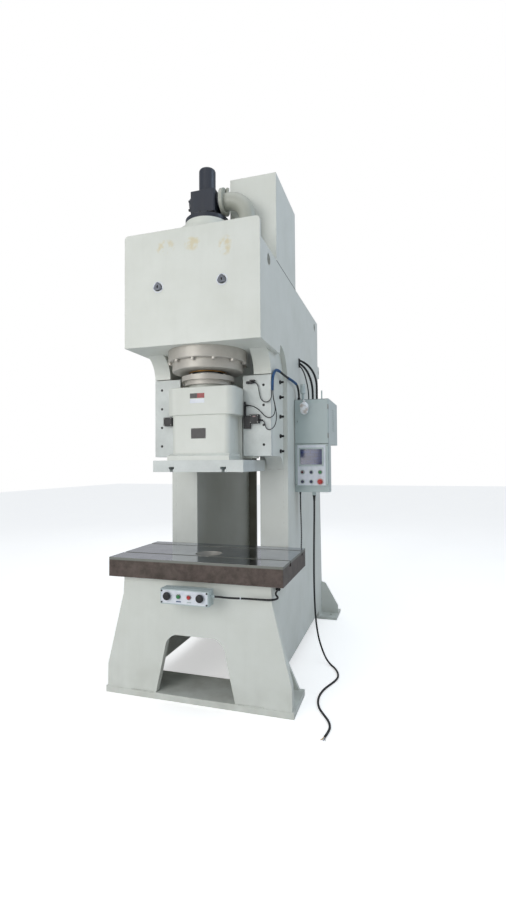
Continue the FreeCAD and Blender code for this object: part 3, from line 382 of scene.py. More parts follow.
plastics = {
    "blackPlastic": dict(base=(36, 36, 38), dark=(26, 26, 28), rough=0.46),
    "redPlastic": dict(base=(186, 26, 22), dark=(160, 18, 16), rough=0.26, coat=0.4, bump=0.05),
    "greenPlastic": dict(base=(30, 128, 62), dark=(22, 104, 50), rough=0.26, coat=0.4, bump=0.05),
    "maroonLens": dict(base=(96, 22, 34), dark=(72, 12, 24), rough=0.18, coat=0.6, bump=0.03),
    "paleRed": dict(base=(222, 176, 170), dark=(208, 160, 154), rough=0.4),
    "knobBlue": dict(base=(42, 48, 84), dark=(30, 34, 64), rough=0.35, coat=0.2),
    "yellowPlastic": dict(base=(214, 168, 60), dark=(198, 150, 48), rough=0.34, coat=0.2),
    "whiteSheet": dict(base=(226, 230, 236), dark=(214, 219, 228), rough=0.34, grain=400.0, bump=0.08),
    "palePlastic": dict(base=(206, 214, 212), dark=(192, 200, 198), rough=0.42),
    "blackSheet": dict(base=(34, 32, 34), dark=(24, 22, 24), rough=0.3, bump=0.04),
    "redSheet": dict(base=(150, 34, 34), dark=(132, 26, 26), rough=0.3, bump=0.04),
    "jacketBlack": dict(base=(34, 34, 36), dark=(24, 24, 26), rough=0.52, grain=500.0, bump=0.3),
    "jacketBlue": dict(base=(34, 84, 132), dark=(26, 66, 108), rough=0.5, grain=420.0, bump=0.3),
    "jacketPale": dict(base=(196, 190, 172), dark=(176, 168, 150), rough=0.5),
    "rubber": dict(base=(28, 28, 28), dark=(20, 20, 20), rough=0.62, grain=260.0, bump=0.3),
}
materials = {"bolsterSteel": bolsterMaterial(), "ramChrome": ramMaterial(), "screenGlass": screenMaterial(),
             "packingFilm": filmMaterial()}
for make, table in ((paintMaterial, paints), (steelMaterial, steels), (plasticMaterial, plastics)):
    for name, facts in table.items():
        materials[name] = make(name, **facts)
print("materials made:", len(materials))


# The material of each CAD node
nodeFinish = {
    "framePaint": "side_plate_left side_plate_right column_left column_right guide_bracket_left guide_bracket_right "
                  "head_cover head_bottom head_top base_front front_foot rear_foot table_plate slide_body oil_tank "
                  "cylinder_cap",
    "throatPaint": "rear_plate",
    "cabinetPaint": "cabinet_shell cabinet_door operator_panel control_box",
    "slideSteel": "slide_plate guide_plate_left guide_plate_right",
    "ringSteel": "clamp_ring gland_ring ring_bolts ram_flange",
    "groundSteel": "cylinder_barrel rear_gibs pump_shaft prefill_poppet",
    "bolsterSteel": "bolster bolster_bolts",
    "blackOxide": "guide_screws valve_screws",
    "valvePaint": "valve_body valve_cap",
    "pipePaint": "suction_elbow",
    "motorPaint": "pump_motor",
    "castGrey": "pump",
    "ramChrome": "ram",
    "lockChrome": "head_lock_left head_lock_right",
    "bronze": "gland_bush gib_liners",
    "blackPlastic": "limit_switches palm_button_left palm_button_right",
    "knobBlue": "mode_selector stroke_selector light_selector",
    "redPlastic": "emergency_stop stop_button",
    "greenPlastic": "ready_button start_button",
}
for finish, names in nodeFinish.items():
    for name in names.split():
        nodes[name].data.materials.clear()
        nodes[name].data.materials.append(materials[finish])
print("finishes given to CAD nodes")


# Making pieces
def addObject(name, data):
    obj = bpy.data.objects.new(name, data)
    bpy.context.scene.collection.objects.link(obj)
    return obj


def finishPiece(obj, finish, body="press_frame", stands=()):
    obj.data.materials.clear()
    obj.data.materials.append(materials[finish])
    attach(obj, body)
    if stands:
        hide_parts(*stands)
    return obj


def drawMesh(name, build, merge):
    # build(bm) draws the shape
    mesh = bpy.data.meshes.new(name)
    bm = bmesh.new()
    build(bm)
    bmesh.ops.remove_doubles(bm, verts=bm.verts, dist=merge)
    bmesh.ops.recalc_face_normals(bm, faces=bm.faces)
    bm.to_mesh(mesh)
    bm.free()
    return mesh


def meshPiece(name, build, finish, body="press_frame", smooth=30.0, bevel=0.0, stands=()):
    # build(bm) draws the piece in place, in the frame's coordinates
    mesh = drawMesh(name, build, 0.00001)
    obj = addObject(name, mesh)
    if bevel:
        made = obj.modifiers.new("softEdge", "BEVEL")
        made.width, made.segments, made.limit_method = bevel, 2, "ANGLE"
        made.angle_limit = math.radians(40)
    mesh.shade_smooth()
    mesh.set_sharp_from_angle(angle=math.radians(smooth))
    return finishPiece(obj, finish, body, stands)


def addBlock(bm, low, high):
    corners = bmesh.ops.create_cube(bm, size=1.0)["verts"]
    for v in corners:
        v.co = Vector([low[i] + (v.co[i] + 0.5) * (high[i] - low[i]) for i in range(3)])
    return corners


def sheetPiece(name, low, high, finish, body="press_frame", bevel=0.001):
    return meshPiece(name, lambda bm: addBlock(bm, low, high), finish, body, bevel=bevel)


def turnTo(direction):
    return Vector(direction).normalized().to_track_quat("Z", "Y").to_matrix().to_4x4()


def addRing(bm, move, radius, along, sides):
    turns = [2 * math.pi * i / sides for i in range(sides)]
    return [bm.verts.new(move @ Vector((radius * math.cos(a), radius * math.sin(a), along))) for a in turns]


def joinRings(bm, a, b):
    for i in range(len(a)):
        j = (i + 1) % len(a)
        bm.faces.new((a[i], a[j], b[j], b[i]))


def addLathe(bm, place, direction, profile, sides=32):
    # profile is (distance along the axis, radius); radius 0 closes an end
    move = Matrix.Translation(place) @ turnTo(direction)
    rings = [addRing(bm, move, radius, along, sides if radius else 1) for along, radius in profile]
    for a, b in zip(rings, rings[1:]):
        for i in range(sides):
            corners = [a[i % len(a)], a[(i + 1) % len(a)], b[(i + 1) % len(b)], b[i % len(b)]]
            unique = [v for n, v in enumerate(corners) if v not in corners[:n]]
            if len(unique) > 2:
                bm.faces.new(unique)
    for ring, facing in ((rings[0], -1), (rings[-1], 1)):
        if len(ring) > 2:
            bm.faces.new(ring[::facing])


def addHoop(bm, place, way, profile, sides):
    # a closed profile of (radius, distance along the axis) turned round the axis
    move = Matrix.Translation(place) @ turnTo(way)
    rings = [addRing(bm, move, radius, along, sides) for radius, along in profile]
    for a, b in zip(rings, rings[1:] + rings[:1]):
        joinRings(bm, a, b)


def addWasher(bm, place, way, inner, outer, height, sides=40):
    addHoop(bm, place, way, [(inner, 0), (outer, 0), (outer, height), (inner, height)], sides)


def addBezel(bm, place, way, inner, outer, height):
    # a rounded metal ring round a control
    middle = (inner + outer) / 2
    addHoop(bm, place, way, [
        (inner, 0), (outer, 0), (outer, height * 0.6), (middle, height), (inner, height * 0.7)], 36)


def addHex(bm, place, direction, flat, height, dome=0.0):
    radius = flat / math.sqrt(3)
    addLathe(bm, place, direction, [
        (0, radius), (height * 0.85, radius), (height, radius * 0.9), (height + dome, radius * 0.6)], 6)


def addSocketScrew(bm, radius, height):
    addLathe(bm, (0, 0, 0), (0, 0, 1), [
        (0, radius), (height * 0.8, radius), (height, radius * 0.86), (height, radius * 0.52),
        (height * 0.45, radius * 0.5), (height * 0.45, 0)], 18)


def addTube(bm, points, radius, sides=12):
    # a round tube through the points, with parallel frames
    points = [Vector(p) for p in points]
    last = len(points) - 1
    side = (points[1] - points[0]).normalized().orthogonal().normalized()
    turns = [2 * math.pi * k / sides for k in range(sides)]
    rings = []
    for i, point in enumerate(points):
        way = (points[min(i + 1, last)] - points[max(i - 1, 0)]).normalized()
        side = (side - way * side.dot(way)).normalized()
        other = way.cross(side)
        rings.append([bm.verts.new(point + (side * math.cos(a) + other * math.sin(a)) * radius) for a in turns])
    for a, b in zip(rings, rings[1:]):
        joinRings(bm, a, b)
    bm.faces.new(rings[0][::-1])
    bm.faces.new(rings[-1])


# Geometry Nodes trees for what repeats
def newTree(name, inputs):
    inputs = {"Geometry": "Geometry", **inputs, "Material": "Material"}
    return startTree(name, "GeometryNodeTree", inputs, {"Geometry": "Geometry"})


def closeTree(tree, given, out, **wires):
    # copies on the points, made real and painted
    copies = addNode(tree, "GeometryNodeInstanceOnPoints", wires)
    real = addNode(tree, "GeometryNodeRealizeInstances", {0: copies.outputs[0]})
    painted = addNode(tree, "GeometryNodeSetMaterial", {"Geometry": real.outputs[0], "Material": given["Material"]})
    tree.links.new(painted.outputs[0], out["Geometry"])
    return tree


def pointsAlong(tree, given):
    line = addNode(tree, "GeometryNodeMeshToCurve", {"Mesh": given["Geometry"]}).outputs[0]
    even = {"Curve": line, "Length": given["Pitch"]}
    return addNode(tree, "GeometryNodeResampleCurve", even, mode="LENGTH").outputs[0]


def aimed(tree, vector, axis):
    return addNode(tree, "FunctionNodeAlignRotationToVector", {"Vector": vector}, axis=axis).outputs[0]


def makePlacedTree():
    # one copy of a shape on each vertex, its Z along the vertex's "facing", slightly turned by the seed
    tree, given, out = newTree("placedOnPoints", {"Shape": "Object", "Size": 1.0, "Turn": 0.0, "Seed": 3})
    points = addNode(tree, "GeometryNodeMeshToPoints", {"Mesh": given["Geometry"]}).outputs[0]
    shape = addNode(tree, "GeometryNodeObjectInfo", {"Object": given["Shape"]}, transform_space="ORIGINAL")
    facing = addNode(tree, "GeometryNodeInputNamedAttribute", {"Name": "facing"}, data_type="FLOAT_VECTOR").outputs[0]
    least = addNode(tree, "ShaderNodeCombineXYZ", {2: times(tree, given["Turn"], -1.0)}).outputs[0]
    most = addNode(tree, "ShaderNodeCombineXYZ", {2: given["Turn"]}).outputs[0]
    spin = addNode(tree, "FunctionNodeRandomValue", {0: least, 1: most, "Seed": given["Seed"]},
                   data_type="FLOAT_VECTOR")
    turned = addNode(tree, "FunctionNodeRotateRotation", {
        "Rotation": aimed(tree, facing, "Z"), "Rotate By": spin.outputs[0]}, rotation_space="LOCAL").outputs[0]
    return closeTree(tree, given, out, Points=points, Instance=shape.outputs["Geometry"], Rotation=turned,
                     Scale=given["Size"])


def makeWeldTree():
    # overlapping drops of weld metal along edges
    tree, given, out = newTree("weldBead", {"Pitch": 0.006, "Width": 0.005, "Seed": 7})
    drop = addNode(tree, "GeometryNodeMeshIcoSphere", {"Radius": 1.0, "Subdivisions": 1}).outputs[0]
    vary = addNode(tree, "FunctionNodeRandomValue", {2: 0.85, 3: 1.15, "Seed": given["Seed"]}, data_type="FLOAT")
    width = times(tree, given["Width"], vary.outputs[1])
    size = addNode(tree, "ShaderNodeCombineXYZ", {0: given["Pitch"], 1: width, 2: width}).outputs[0]
    tangent = addNode(tree, "GeometryNodeInputTangent").outputs[0]
    return closeTree(tree, given, out, Points=pointsAlong(tree, given), Instance=drop,
                     Rotation=aimed(tree, tangent, "X"), Scale=size)


def makeRingTree():
    # rings threaded on a line, such as the ribs of a corrugated hose
    tree, given, out = newTree("ringsOnLine", {"Pitch": 0.006, "Radius": 0.009, "Thickness": 0.0015})
    hoop = addNode(tree, "GeometryNodeCurvePrimitiveCircle", {"Resolution": 14, "Radius": given["Radius"]})
    section = addNode(tree, "GeometryNodeCurvePrimitiveCircle", {"Resolution": 6, "Radius": given["Thickness"]})
    ring = addNode(tree, "GeometryNodeCurveToMesh", {"Curve": hoop.outputs[0], "Profile Curve": section.outputs[0]})
    tangent = addNode(tree, "GeometryNodeInputTangent").outputs[0]
    return closeTree(tree, given, out, Points=pointsAlong(tree, given), Instance=ring.outputs[0],
                     Rotation=aimed(tree, tangent, "Z"))


placedTree = makePlacedTree()
weldTree = makeWeldTree()
ringTree = makeRingTree()


def runTree(name, source, tree, values, finish, body="press_frame"):
    # evaluates the tree once and keeps its result as a plain mesh
    grow = source.modifiers.new("grow", "NODES")
    grow.node_group = tree
    values = dict(values, Material=materials[finish])
    for item in tree.interface.items_tree:
        if item.in_out == "INPUT" and item.name in values:
            grow[item.identifier] = values[item.name]
    bpy.context.view_layer.update()
    graph = bpy.context.evaluated_depsgraph_get()
    mesh = bpy.data.meshes.new_from_object(source.evaluated_get(graph), preserve_all_data_layers=True, depsgraph=graph)
    source.modifiers.clear()
    bpy.data.objects.remove(source)
    mesh.name = name
    mesh.shade_smooth()
    mesh.set_sharp_from_angle(angle=math.radians(35))
    return finishPiece(addObject(name, mesh), finish, body)


def sourceMesh(name, points, edges=(), facing=()):
    mesh = bpy.data.meshes.new(name)
    mesh.from_pydata([tuple(p) for p in points], edges, [])
    if facing:
        layer = mesh.attributes.new("facing", "FLOAT_VECTOR", "POINT")
        for i, way in enumerate(facing):
            layer.data[i].vector = way
    return addObject(name, mesh)


def sourceLines(name, lines):
    points, edges = [], []
    for line in lines:
        start = len(points)
        points += line
        edges += [(start + i, start + i + 1) for i in range(len(line) - 1)]
    return sourceMesh(name, points, edges)


def placeCopies(name, build, places, finish, body="press_frame", turn=3.1):
    # places is a list of (point, facing); build(bm) draws one copy at the origin, facing +Z
    shape = addObject(name + "Shape", drawMesh(name + "Shape", build, 0.000005))
    source = sourceMesh(name + "Points", [point for point, _ in places], facing=[way for _, way in places])
    made = runTree(name, source, placedTree, {"Shape": shape, "Turn": turn}, finish, body)
    bpy.data.objects.remove(shape)
    return made


def threadRings(name, line, pitch, radius, thickness, finish):
    source = sourceLines(name + "Line", [line])
    runTree(name, source, ringTree, {"Pitch": pitch, "Radius": radius, "Thickness": thickness}, finish)


def weldAlong(name, lines, width=0.005):
    source = sourceLines(name + "Lines", lines)
    runTree(name, source, weldTree, {"Pitch": width * 0.9, "Width": width}, "framePaint")


# Cords and hoses, in millimetres: the routes are the ones of the solid tubes
cordRoutes = {
    "outerHose": dict(diameter=16, length=398, node="cabinet_conduits", route=[
        (468, 798, 1438), (499, 798, 1422), (536, 798, 1394), (570, 799, 1352), (595, 800, 1298), (607, 800, 1232),
        (606, 800, 1163), (606, 800, 1095)]),
    "middleHose": dict(diameter=16, length=350, node="cabinet_conduits", route=[
        (468, 798, 1414), (495, 798, 1391), (521, 798, 1359), (544, 798, 1316), (562, 798, 1262), (572, 798, 1205),
        (574, 798, 1149), (574, 798, 1095)]),
    "thinHose": dict(diameter=10, length=313, node="cabinet_conduits", route=[
        (468, 798, 1393.5), (487, 798, 1370), (503, 798, 1339), (516, 798, 1297), (527, 798, 1250), (536, 798, 1201),
        (541, 798, 1148), (541, 798, 1095)]),
    "lowerHose": dict(diameter=10, length=568, node="cabinet_conduits", route=[
        (486, 700, 383), (486, 700, 290), (489, 700, 180), (492, 700, 65), (490, 700, -40), (486, 700, -115),
        (486, 700, -185)]),
    "sleevedCable": dict(diameter=16, length=803, node="cabinet_conduits", route=[
        (441, 44, 1090), (441, 44, 1130), (441, 52, 1174), (443, 76, 1212), (446, 116, 1238), (450, 176, 1244),
        (461, 265, 1231), (472, 355, 1222), (481, 448, 1218), (487, 543, 1212), (488, 602, 1204), (488, 637, 1184),
        (488, 658, 1157), (488, 668, 1125), (488, 668, 1095)]),
    "upperSensorLead": dict(diameter=6, length=287, node="sensor_cables", stiffness="limp", route=[
        (437, 38, 1090), (437, 38, 1068), (436, 37, 1044), (427, 36, 1024), (410, 36, 1013), (390, 36, 1012),
        (371, 36, 1023), (357, 36, 1047), (350, 36, 1086), (345, 36, 1120), (334, 36, 1139), (318, 36, 1148),
        (300, 36, 1148)]),
    "middleSensorLead": dict(diameter=6, length=401, node="sensor_cables", stiffness="limp", route=[
        (444, 44, 1090), (444, 44, 1042), (457, 41, 995), (461, 38, 950), (449, 36, 918), (420, 36, 905),
        (390, 37, 917), (366, 38, 943), (341, 40, 968), (312, 40, 987), (283, 40, 995), (253.5, 40, 995)]),
    "lowerSensorLead": dict(diameter=6, length=395, node="sensor_cables", stiffness="limp", route=[
        (446, 38, 1090), (446, 38, 1046), (462, 34, 985), (472, 32, 920), (466, 32, 872), (455, 32, 848),
        (437, 32, 831), (414, 32, 826), (397, 33, 839), (393, 34, 861), (385, 36, 880), (369, 36, 893),
        (350, 36, 893)]),
    "boxLead": dict(diameter=12, length=615, node="box_cable", route=[
        (180, -345, -186), (210, -345, -186), (243, -336, -190), (277, -314, -196), (312, -288, -202),
        (352, -267, -206), (400, -258, -208), (446, -256, -208), (486, -258, -207), (513, -249, -206),
        (530, -227, -206), (531, -199, -206), (519, -170, -206), (502, -138, -207), (491, -101, -207),
        (486, -64, -207), (484, -31, -207), (484, -3, -207)]),
    "supplyLead": dict(diameter=14, length=2310, node="supply_cable", lay="loose", far="bare", route=[
        (604, 650, 359), (604, 650, 240), (600, 650, 60), (597, 649, -140), (597, 648, -330), (601, 647, -480),
        (610, 645, -610), (628, 642, -720), (656, 634, -802), (690, 616, -864), (727, 584, -888), (763, 536, -888),
        (793, 470, -888), (808, 396, -888), (796, 325, -888), (768, 254, -888), (741, 180, -888), (726, 95, -888),
        (729, 5, -888), (752, -78, -888), (793, -148, -888), (830, -208, -888), (849, -272, -888),
        (843, -334, -888), (834, -376, -888)]),
}


def makeCord(name, facts):
    # returns the cord and the points of its middle line
    curve = bpy.data.curves.new(name, "CURVE")
    curve.dimensions = "3D"
    spline = curve.splines.new("NURBS")
    spline.points.add(len(facts["route"]) - 1)
    for point, (x, y, z) in zip(spline.points, facts["route"]):
        point.co = (x / 1000, y / 1000, z / 1000, 1.0)
    spline.order_u = 3
    spline.use_endpoint_u = True
    spline.resolution_u = 10
    obj = addObject(name, curve)
    bpy.context.view_layer.update()
    graph = bpy.context.evaluated_depsgraph_get()
    bare = bpy.data.meshes.new_from_object(obj.evaluated_get(graph), depsgraph=graph)
    line = [v.co.copy() for v in bare.vertices]
    bpy.data.meshes.remove(bare)
    curve.bevel_depth = facts["diameter"] / 2000
    curve.bevel_resolution = 4
    curve.use_fill_caps = True
    finishPiece(obj, "jacketBlack", stands=(facts["node"],))
    return obj, line


cords, cordLines = {}, {}
for name, facts in cordRoutes.items():
    cords[name], cordLines[name] = makeCord(name, facts)
print("cords laid:", len(cords))


def stretchOf(name, start, end):
    # the part of a cord's line between two fractions of its length
    line = cordLines[name]
    total = sum((b - a).length for a, b in zip(line, line[1:]))
    run, kept = 0.0, []
    for a, b in zip(line, line[1:]):
        if start * total <= run <= end * total:
            kept.append(a)
        run += (b - a).length
    return kept


def sleevePieces():
    # blue tape over two stretches of the sleeved cable
    sleeve = {"radius": 0.0092, "pitch": 0.012, "ridge": 0.0008}
    wraps = {"blueWrapUpright": (0.0, 0.32), "blueWrapSlope": (0.52, 0.79)}
    for name, (start, end) in wraps.items():
        part = stretchOf("sleevedCable", start, end)
        meshPiece(name, lambda bm: addTube(bm, part, sleeve["radius"], 16), "jacketBlue")
        threadRings(name + "Turns", part, sleeve["pitch"], sleeve["radius"], sleeve["ridge"], "jacketBlue")


def hoseRibs():
    # the long thin one below is armoured: bright rings with dark gaps over its middle
    corrugated = dict(start=0.08, end=0.93, pitch=0.0055, radius=0.0082, thickness=0.0012, finish="jacketBlack")
    ribs = {"lowerHose": dict(start=0.26, end=0.84, pitch=0.013, radius=0.0048, thickness=0.0022, finish="armour"),
            "outerHose": corrugated, "middleHose": corrugated}
    for name, facts in ribs.items():
        part = stretchOf(name, facts["start"], facts["end"])
        threadRings(name + "Ribs", part, facts["pitch"], facts["radius"], facts["thickness"], facts["finish"])


def glandPieces():
    # a gland where a hose enters the cabinet: point, outward direction, hose radius
    glands = {"outerHoseTop": ((0.606, 0.8, 1.095), (0, 0, 1), 0.008),
              "middleHoseTop": ((0.574, 0.798, 1.095), (0, 0, 1), 0.008),
              "thinHoseTop": ((0.541, 0.798, 1.095), (0, 0, 1), 0.005),
              "lowerHoseTop": ((0.486, 0.7, 0.383), (0, 0, -1), 0.005),
              "sleevedTop": ((0.488, 0.668, 1.095), (0, 0, 1), 0.008)}
    outlet = {"low": (0.4622, 0.7835, 1.3815), "high": (0.4705, 0.8125, 1.4525), "round": 0.003}
    for name, (point, way, radius) in glands.items():
        def gland(bm):
            addHex(bm, point, way, radius * 3.6, 0.006)
            addLathe(bm, Vector(point) + Vector(way) * 0.006, way, [
                (0, radius * 1.45), (0.004, radius * 1.5), (0.012, radius * 1.4), (0.017, radius * 1.12),
                (0.019, radius * 1.02), (0.019, radius * 0.9)], 24)
        meshPiece("gland_" + name, gland, "blackPlastic")
    # the three upper hoses share one rubber block on the side plate
    sheetPiece("hoseOutlet", outlet["low"], outlet["high"], "rubber", bevel=outlet["round"])


def elbowPieces():
    # swept elbows that take a lead into a side plate: corner, way to the cord, reach, radius, CAD node
    plateFace, steps = 0.462, 8
    elbows = {"hoseElbow": ((0.486, 0.7, -0.215), (0, 0, 1), 0.030, 0.009, "cabinet_conduits"),
              "boxElbow": ((0.484, 0.02, -0.207), (0, -1, 0), 0.023, 0.0085, "box_cable")}
    for name, (corner, way, reach, radius, node) in elbows.items():
        corner, way = Vector(corner), Vector(way)
        start, end = corner + way * reach, Vector((plateFace, corner.y, corner.z))
        before, after = corner + way * reach * 0.6, corner - Vector((reach * 0.6, 0, 0))
        bend = [before * (1 - t) ** 2 + corner * 2 * t * (1 - t) + after * t ** 2
                for t in [i / steps for i in range(steps + 1)]]

        def elbow(bm):
            addTube(bm, [start] + bend + [end], radius, 20)
            addHex(bm, start - way * 0.010, way, radius * 2.6, 0.010)
            addHex(bm, end, (1, 0, 0), radius * 2.7, 0.007)
        meshPiece(name, elbow, "blackOxide", stands=(node,))


def supplyEnds():
    # tapered strain relief under the cabinet and the bare cores at the loose end
    inlet = (0.604, 0.65, 0.361)
    cores = {"finishes": ("jacketPale", "jacketBlue", "jacketPale", "yellowPlastic"), "radius": 0.0019, "gap": 0.0042}
    pieces = [meshPiece("supplyStrainRelief", lambda bm: addLathe(bm, inlet, (0, 0, -1), [
        (0, 0.0125), (0.006, 0.0125), (0.008, 0.011), (0.014, 0.0108), (0.016, 0.0095), (0.022, 0.0098),
        (0.024, 0.0088), (0.030, 0.009), (0.032, 0.0082), (0.038, 0.0084), (0.046, 0.0074), (0.046, 0.0066)], 28),
        "rubber")]
    line = cordLines["supplyLead"]
    end, way = line[-1], (line[-1] - line[-3]).normalized()
    across = way.cross(Vector((0, 0, 1))).normalized()
    for k, finish in enumerate(cores["finishes"]):
        spread = (k - 1.5) * cores["gap"]
        # each point: along the cable, share of the spread, drop
        points = [end + way * along + across * spread * share - Vector((0, 0, drop)) for along, share, drop in (
            (-0.012, 0.7, 0.0012), (0.006, 0.9, 0.003), (0.020, 1.6, 0.0046), (0.028 + 0.003 * (k % 2), 2.1, 0.0048))]
        pieces.append(meshPiece("core" + str(k), lambda bm: addTube(bm, points, cores["radius"], 10),
                                finish))
    return pieces


sleevePieces()
hoseRibs()
glandPieces()
elbowPieces()
onSupply = supplyEnds()
print("cord fittings made")


# Labels and small parts
front = (0, -1, 0)
upward = (0, 0, 1)


def labelPieces():
    # the maker's places stay bare: plain coloured fields
    plate = {"low": (-0.062, -0.1462, 0.770), "high": (0.041, -0.1450, 0.837)}
    sheetPiece("namePlate", plate["low"], plate["high"], "blackSheet", "press_slide", 0.0004)
    corners = [((x, -0.1462, z), front) for x in (-0.057, 0.036) for z in (0.775, 0.832)]
    placeCopies("namePlateRivets", lambda bm: addLathe(bm, (0, 0, 0), upward, [
        (0, 0.0024), (0.0006, 0.0023), (0.0013, 0.0015), (0.0016, 0)], 12),
        corners, "zinc", "press_slide")
    fields = {"collarLabelDark": ("blackSheet", -0.065, -0.0142, 1.033, 1.065),
              "collarLabelRed": ("redSheet", -0.014, 0.037, 1.033, 1.065),
              "collarLabelPale": ("whiteSheet", -0.065, 0.037, 1.001, 1.028)}
    for name, (finish, left, right, low, high) in fields.items():
        sheetPiece(name, (left, -0.1556, low), (right, -0.1550, high), finish, "press_slide", 0.0003)


def operatorPieces():
    # face, window and screen are (left, right, low, high)
    panel = {"front": 0.606, "thick": 0.0008, "face": (0.486, 0.700, 0.437, 0.742),
             "window": (0.4955, 0.6865, 0.5815, 0.7225), "screen": (0.5075, 0.6745, 0.5935, 0.7105)}
    plane, back = panel["front"], panel["front"] - panel["thick"]
    left, right, low, high = panel["face"]
    inLeft, inRight, inLow, inHigh = panel["window"]

    def frameSheet(bm):
        for x0, x1, z0, z1 in ((left, right, low, inLow), (left, right, inHigh, high),
                               (left, inLeft, inLow, inHigh), (inRight, right, inLow, inHigh)):
            addBlock(bm, (x0, back, z0), (x1, plane, z1))
    meshPiece("panelSheet", frameSheet, "whiteSheet")
    x0, x1, z0, z1 = panel["screen"]
    sheetPiece("screenGlass", (x0, plane - 0.0048, z0), (x1, plane - 0.0036, z1), "screenGlass", bevel=0.0004)
    meshPiece("lampLens", lambda bm: addLathe(bm, (0.524, plane - 0.0122, 0.536), front, [
        (0, 0.0098), (0.001, 0.0096), (0.0025, 0.008), (0.0034, 0.005), (0.0037, 0)], 28), "maroonLens")
    # pale or coloured rings under the controls
    rings = [((x, z), "palePlastic", 0.0185) for x in (0.524, 0.591, 0.659) for z in (0.536, 0.464)]
    rings[-1] = ((0.659, 0.464), "paleRed", 0.0245)
    for k, ((x, z), finish, outer) in enumerate(rings):
        meshPiece("legendRing" + str(k), lambda bm: addWasher(bm, (x, back, z), front, 0.0152, outer, 0.0012),
                  finish)


def controlPieces():
    # metal bezels on every collar, corner screws of the box and its legend fields
    boxFace, panelFace, proud = -0.394, 0.602, 0.0018
    bezels = {"palmLeft": (-0.108, boxFace, -0.190, 0.0135, 0.0205),
              "palmRight": (0.106, boxFace, -0.190, 0.0135, 0.0205),
              "start": (-0.035, boxFace, -0.190, 0.0118, 0.0152), "stop": (0.033, boxFace, -0.190, 0.0118, 0.0152),
              "ready": (0.659, panelFace, 0.536, 0.0118, 0.0156),
              "emergency": (0.659, panelFace, 0.464, 0.0125, 0.0160),
              "lamp": (0.524, panelFace, 0.536, 0.0103, 0.0156)}
    for name, (x, face, z, inner, outer) in bezels.items():
        meshPiece("bezel_" + name, lambda bm: addBezel(bm, (x, face + proud, z), front, inner, outer, 0.0022),
                  "zinc")
    screws = [((x, -0.3904, z), front) for x in (-0.147, 0.147) for z in (-0.229, -0.161)]
    placeCopies("boxScrews", lambda bm: addSocketScrew(bm, 0.0052, 0.004), screws, "blackOxide")
    sheetPiece("boxFace", (-0.1515, -0.3905, -0.2340), (0.1515, -0.3899, -0.1560), "whiteSheet", bevel=0.0002)
    for name, left, right, finish in (("Start", -0.051, -0.019, "jacketBlue"), ("Stop", 0.019, 0.047, "cabinetPaint")):
        sheetPiece("boxLegend" + name, (left, -0.3909, -0.2235), (right, -0.3904, -0.2175), finish, bevel=0.0002)
    sheetPiece("boxLidSeam", (-0.1585, -0.3345, -0.2405), (0.1585, -0.3325, -0.1495), "rubber",
               bevel=0.0004)


def cabinetPieces():
    # rubber seal round the door, hinge knuckles and lock slot
    def seal(bm):
        for x0, x1, z0, z1 in ((0.4665, 0.7215, 0.751, 0.7535), (0.4665, 0.7215, 1.0915, 1.094),
                               (0.4635, 0.4658, 0.751, 1.094)):
            addBlock(bm, (x0, 0.6195, z0), (x1, 0.6215, z1))
    meshPiece("doorSeal", seal, "rubber")
    hinges = [((0.7215, 0.6105, z), upward) for z in (0.795, 1.015)]
    placeCopies("doorHinges", lambda bm: addLathe(bm, (0, 0, 0), upward, [
        (0, 0), (0, 0.0042), (0.002, 0.0052), (0.017, 0.0052), (0.0175, 0.0046), (0.0195, 0.0046), (0.020, 0.0052),
        (0.035, 0.0052), (0.037, 0.0042), (0.037, 0)], 18),
        hinges, "zinc", "cabinet_door_body", turn=0.0)
    meshPiece("doorLockSlot", lambda bm: addBlock(bm, (0.4868, 0.6036, 0.9190), (0.4892, 0.6052, 0.9310)),
              "blackOxide", "cabinet_door_body")
    # louvres on the outer side
    louvres = {"count": 10, "low": 0.86, "step": 0.018}
    rows = [((0.7252, 0.86, louvres["low"] + louvres["step"] * k), (1, 0, 0)) for k in range(louvres["count"])]
    placeCopies("sideLouvres", addLouvre, rows, "cabinetPaint", turn=0.0)
    screws = [((x, 0.6058, z), front) for x in (0.474, 0.713) for z in (0.440, 0.738)]
    placeCopies("panelScrews", lambda bm: addSocketScrew(bm, 0.004, 0.0026), screws, "zinc")
    # beacon: ribbed lens and cap over the plain post
    ribs = {"count": 8, "pitch": 0.006, "outer": 0.0194, "inner": 0.0182}
    profile = [(0, 0.0096), (0.004, 0.0185), (0.006, ribs["outer"])]
    for k in range(ribs["count"]):
        profile += [(0.008 + ribs["pitch"] * k, ribs["outer"]), (0.011 + ribs["pitch"] * k, ribs["inner"])]
    profile += [(0.058, ribs["outer"]), (0.066, ribs["outer"]), (0.0722, 0.0165), (0.0724, 0)]
    meshPiece("beaconLens", lambda bm: addLathe(bm, (0.525, 0.640, 1.141), upward, profile, 30),
              "palePlastic")


def addLouvre(bm):
    # one pressed slot, hooded downwards; its Z is the outward direction
    half, rise, deep, taper = 0.060, 0.005, 0.004, 0.006
    ends = [[bm.verts.new((0, y, 0)), bm.verts.new((-rise * 0.3, y, lift)), bm.verts.new((-rise, y, 0))]
            for y, lift in ((-half, 0.0006), (-half + taper, deep), (half - taper, deep), (half, 0.0006))]
    for a, b in zip(ends, ends[1:]):
        joinRings(bm, a, b)
    bm.faces.new(ends[0])
    bm.faces.new(ends[-1][::-1])


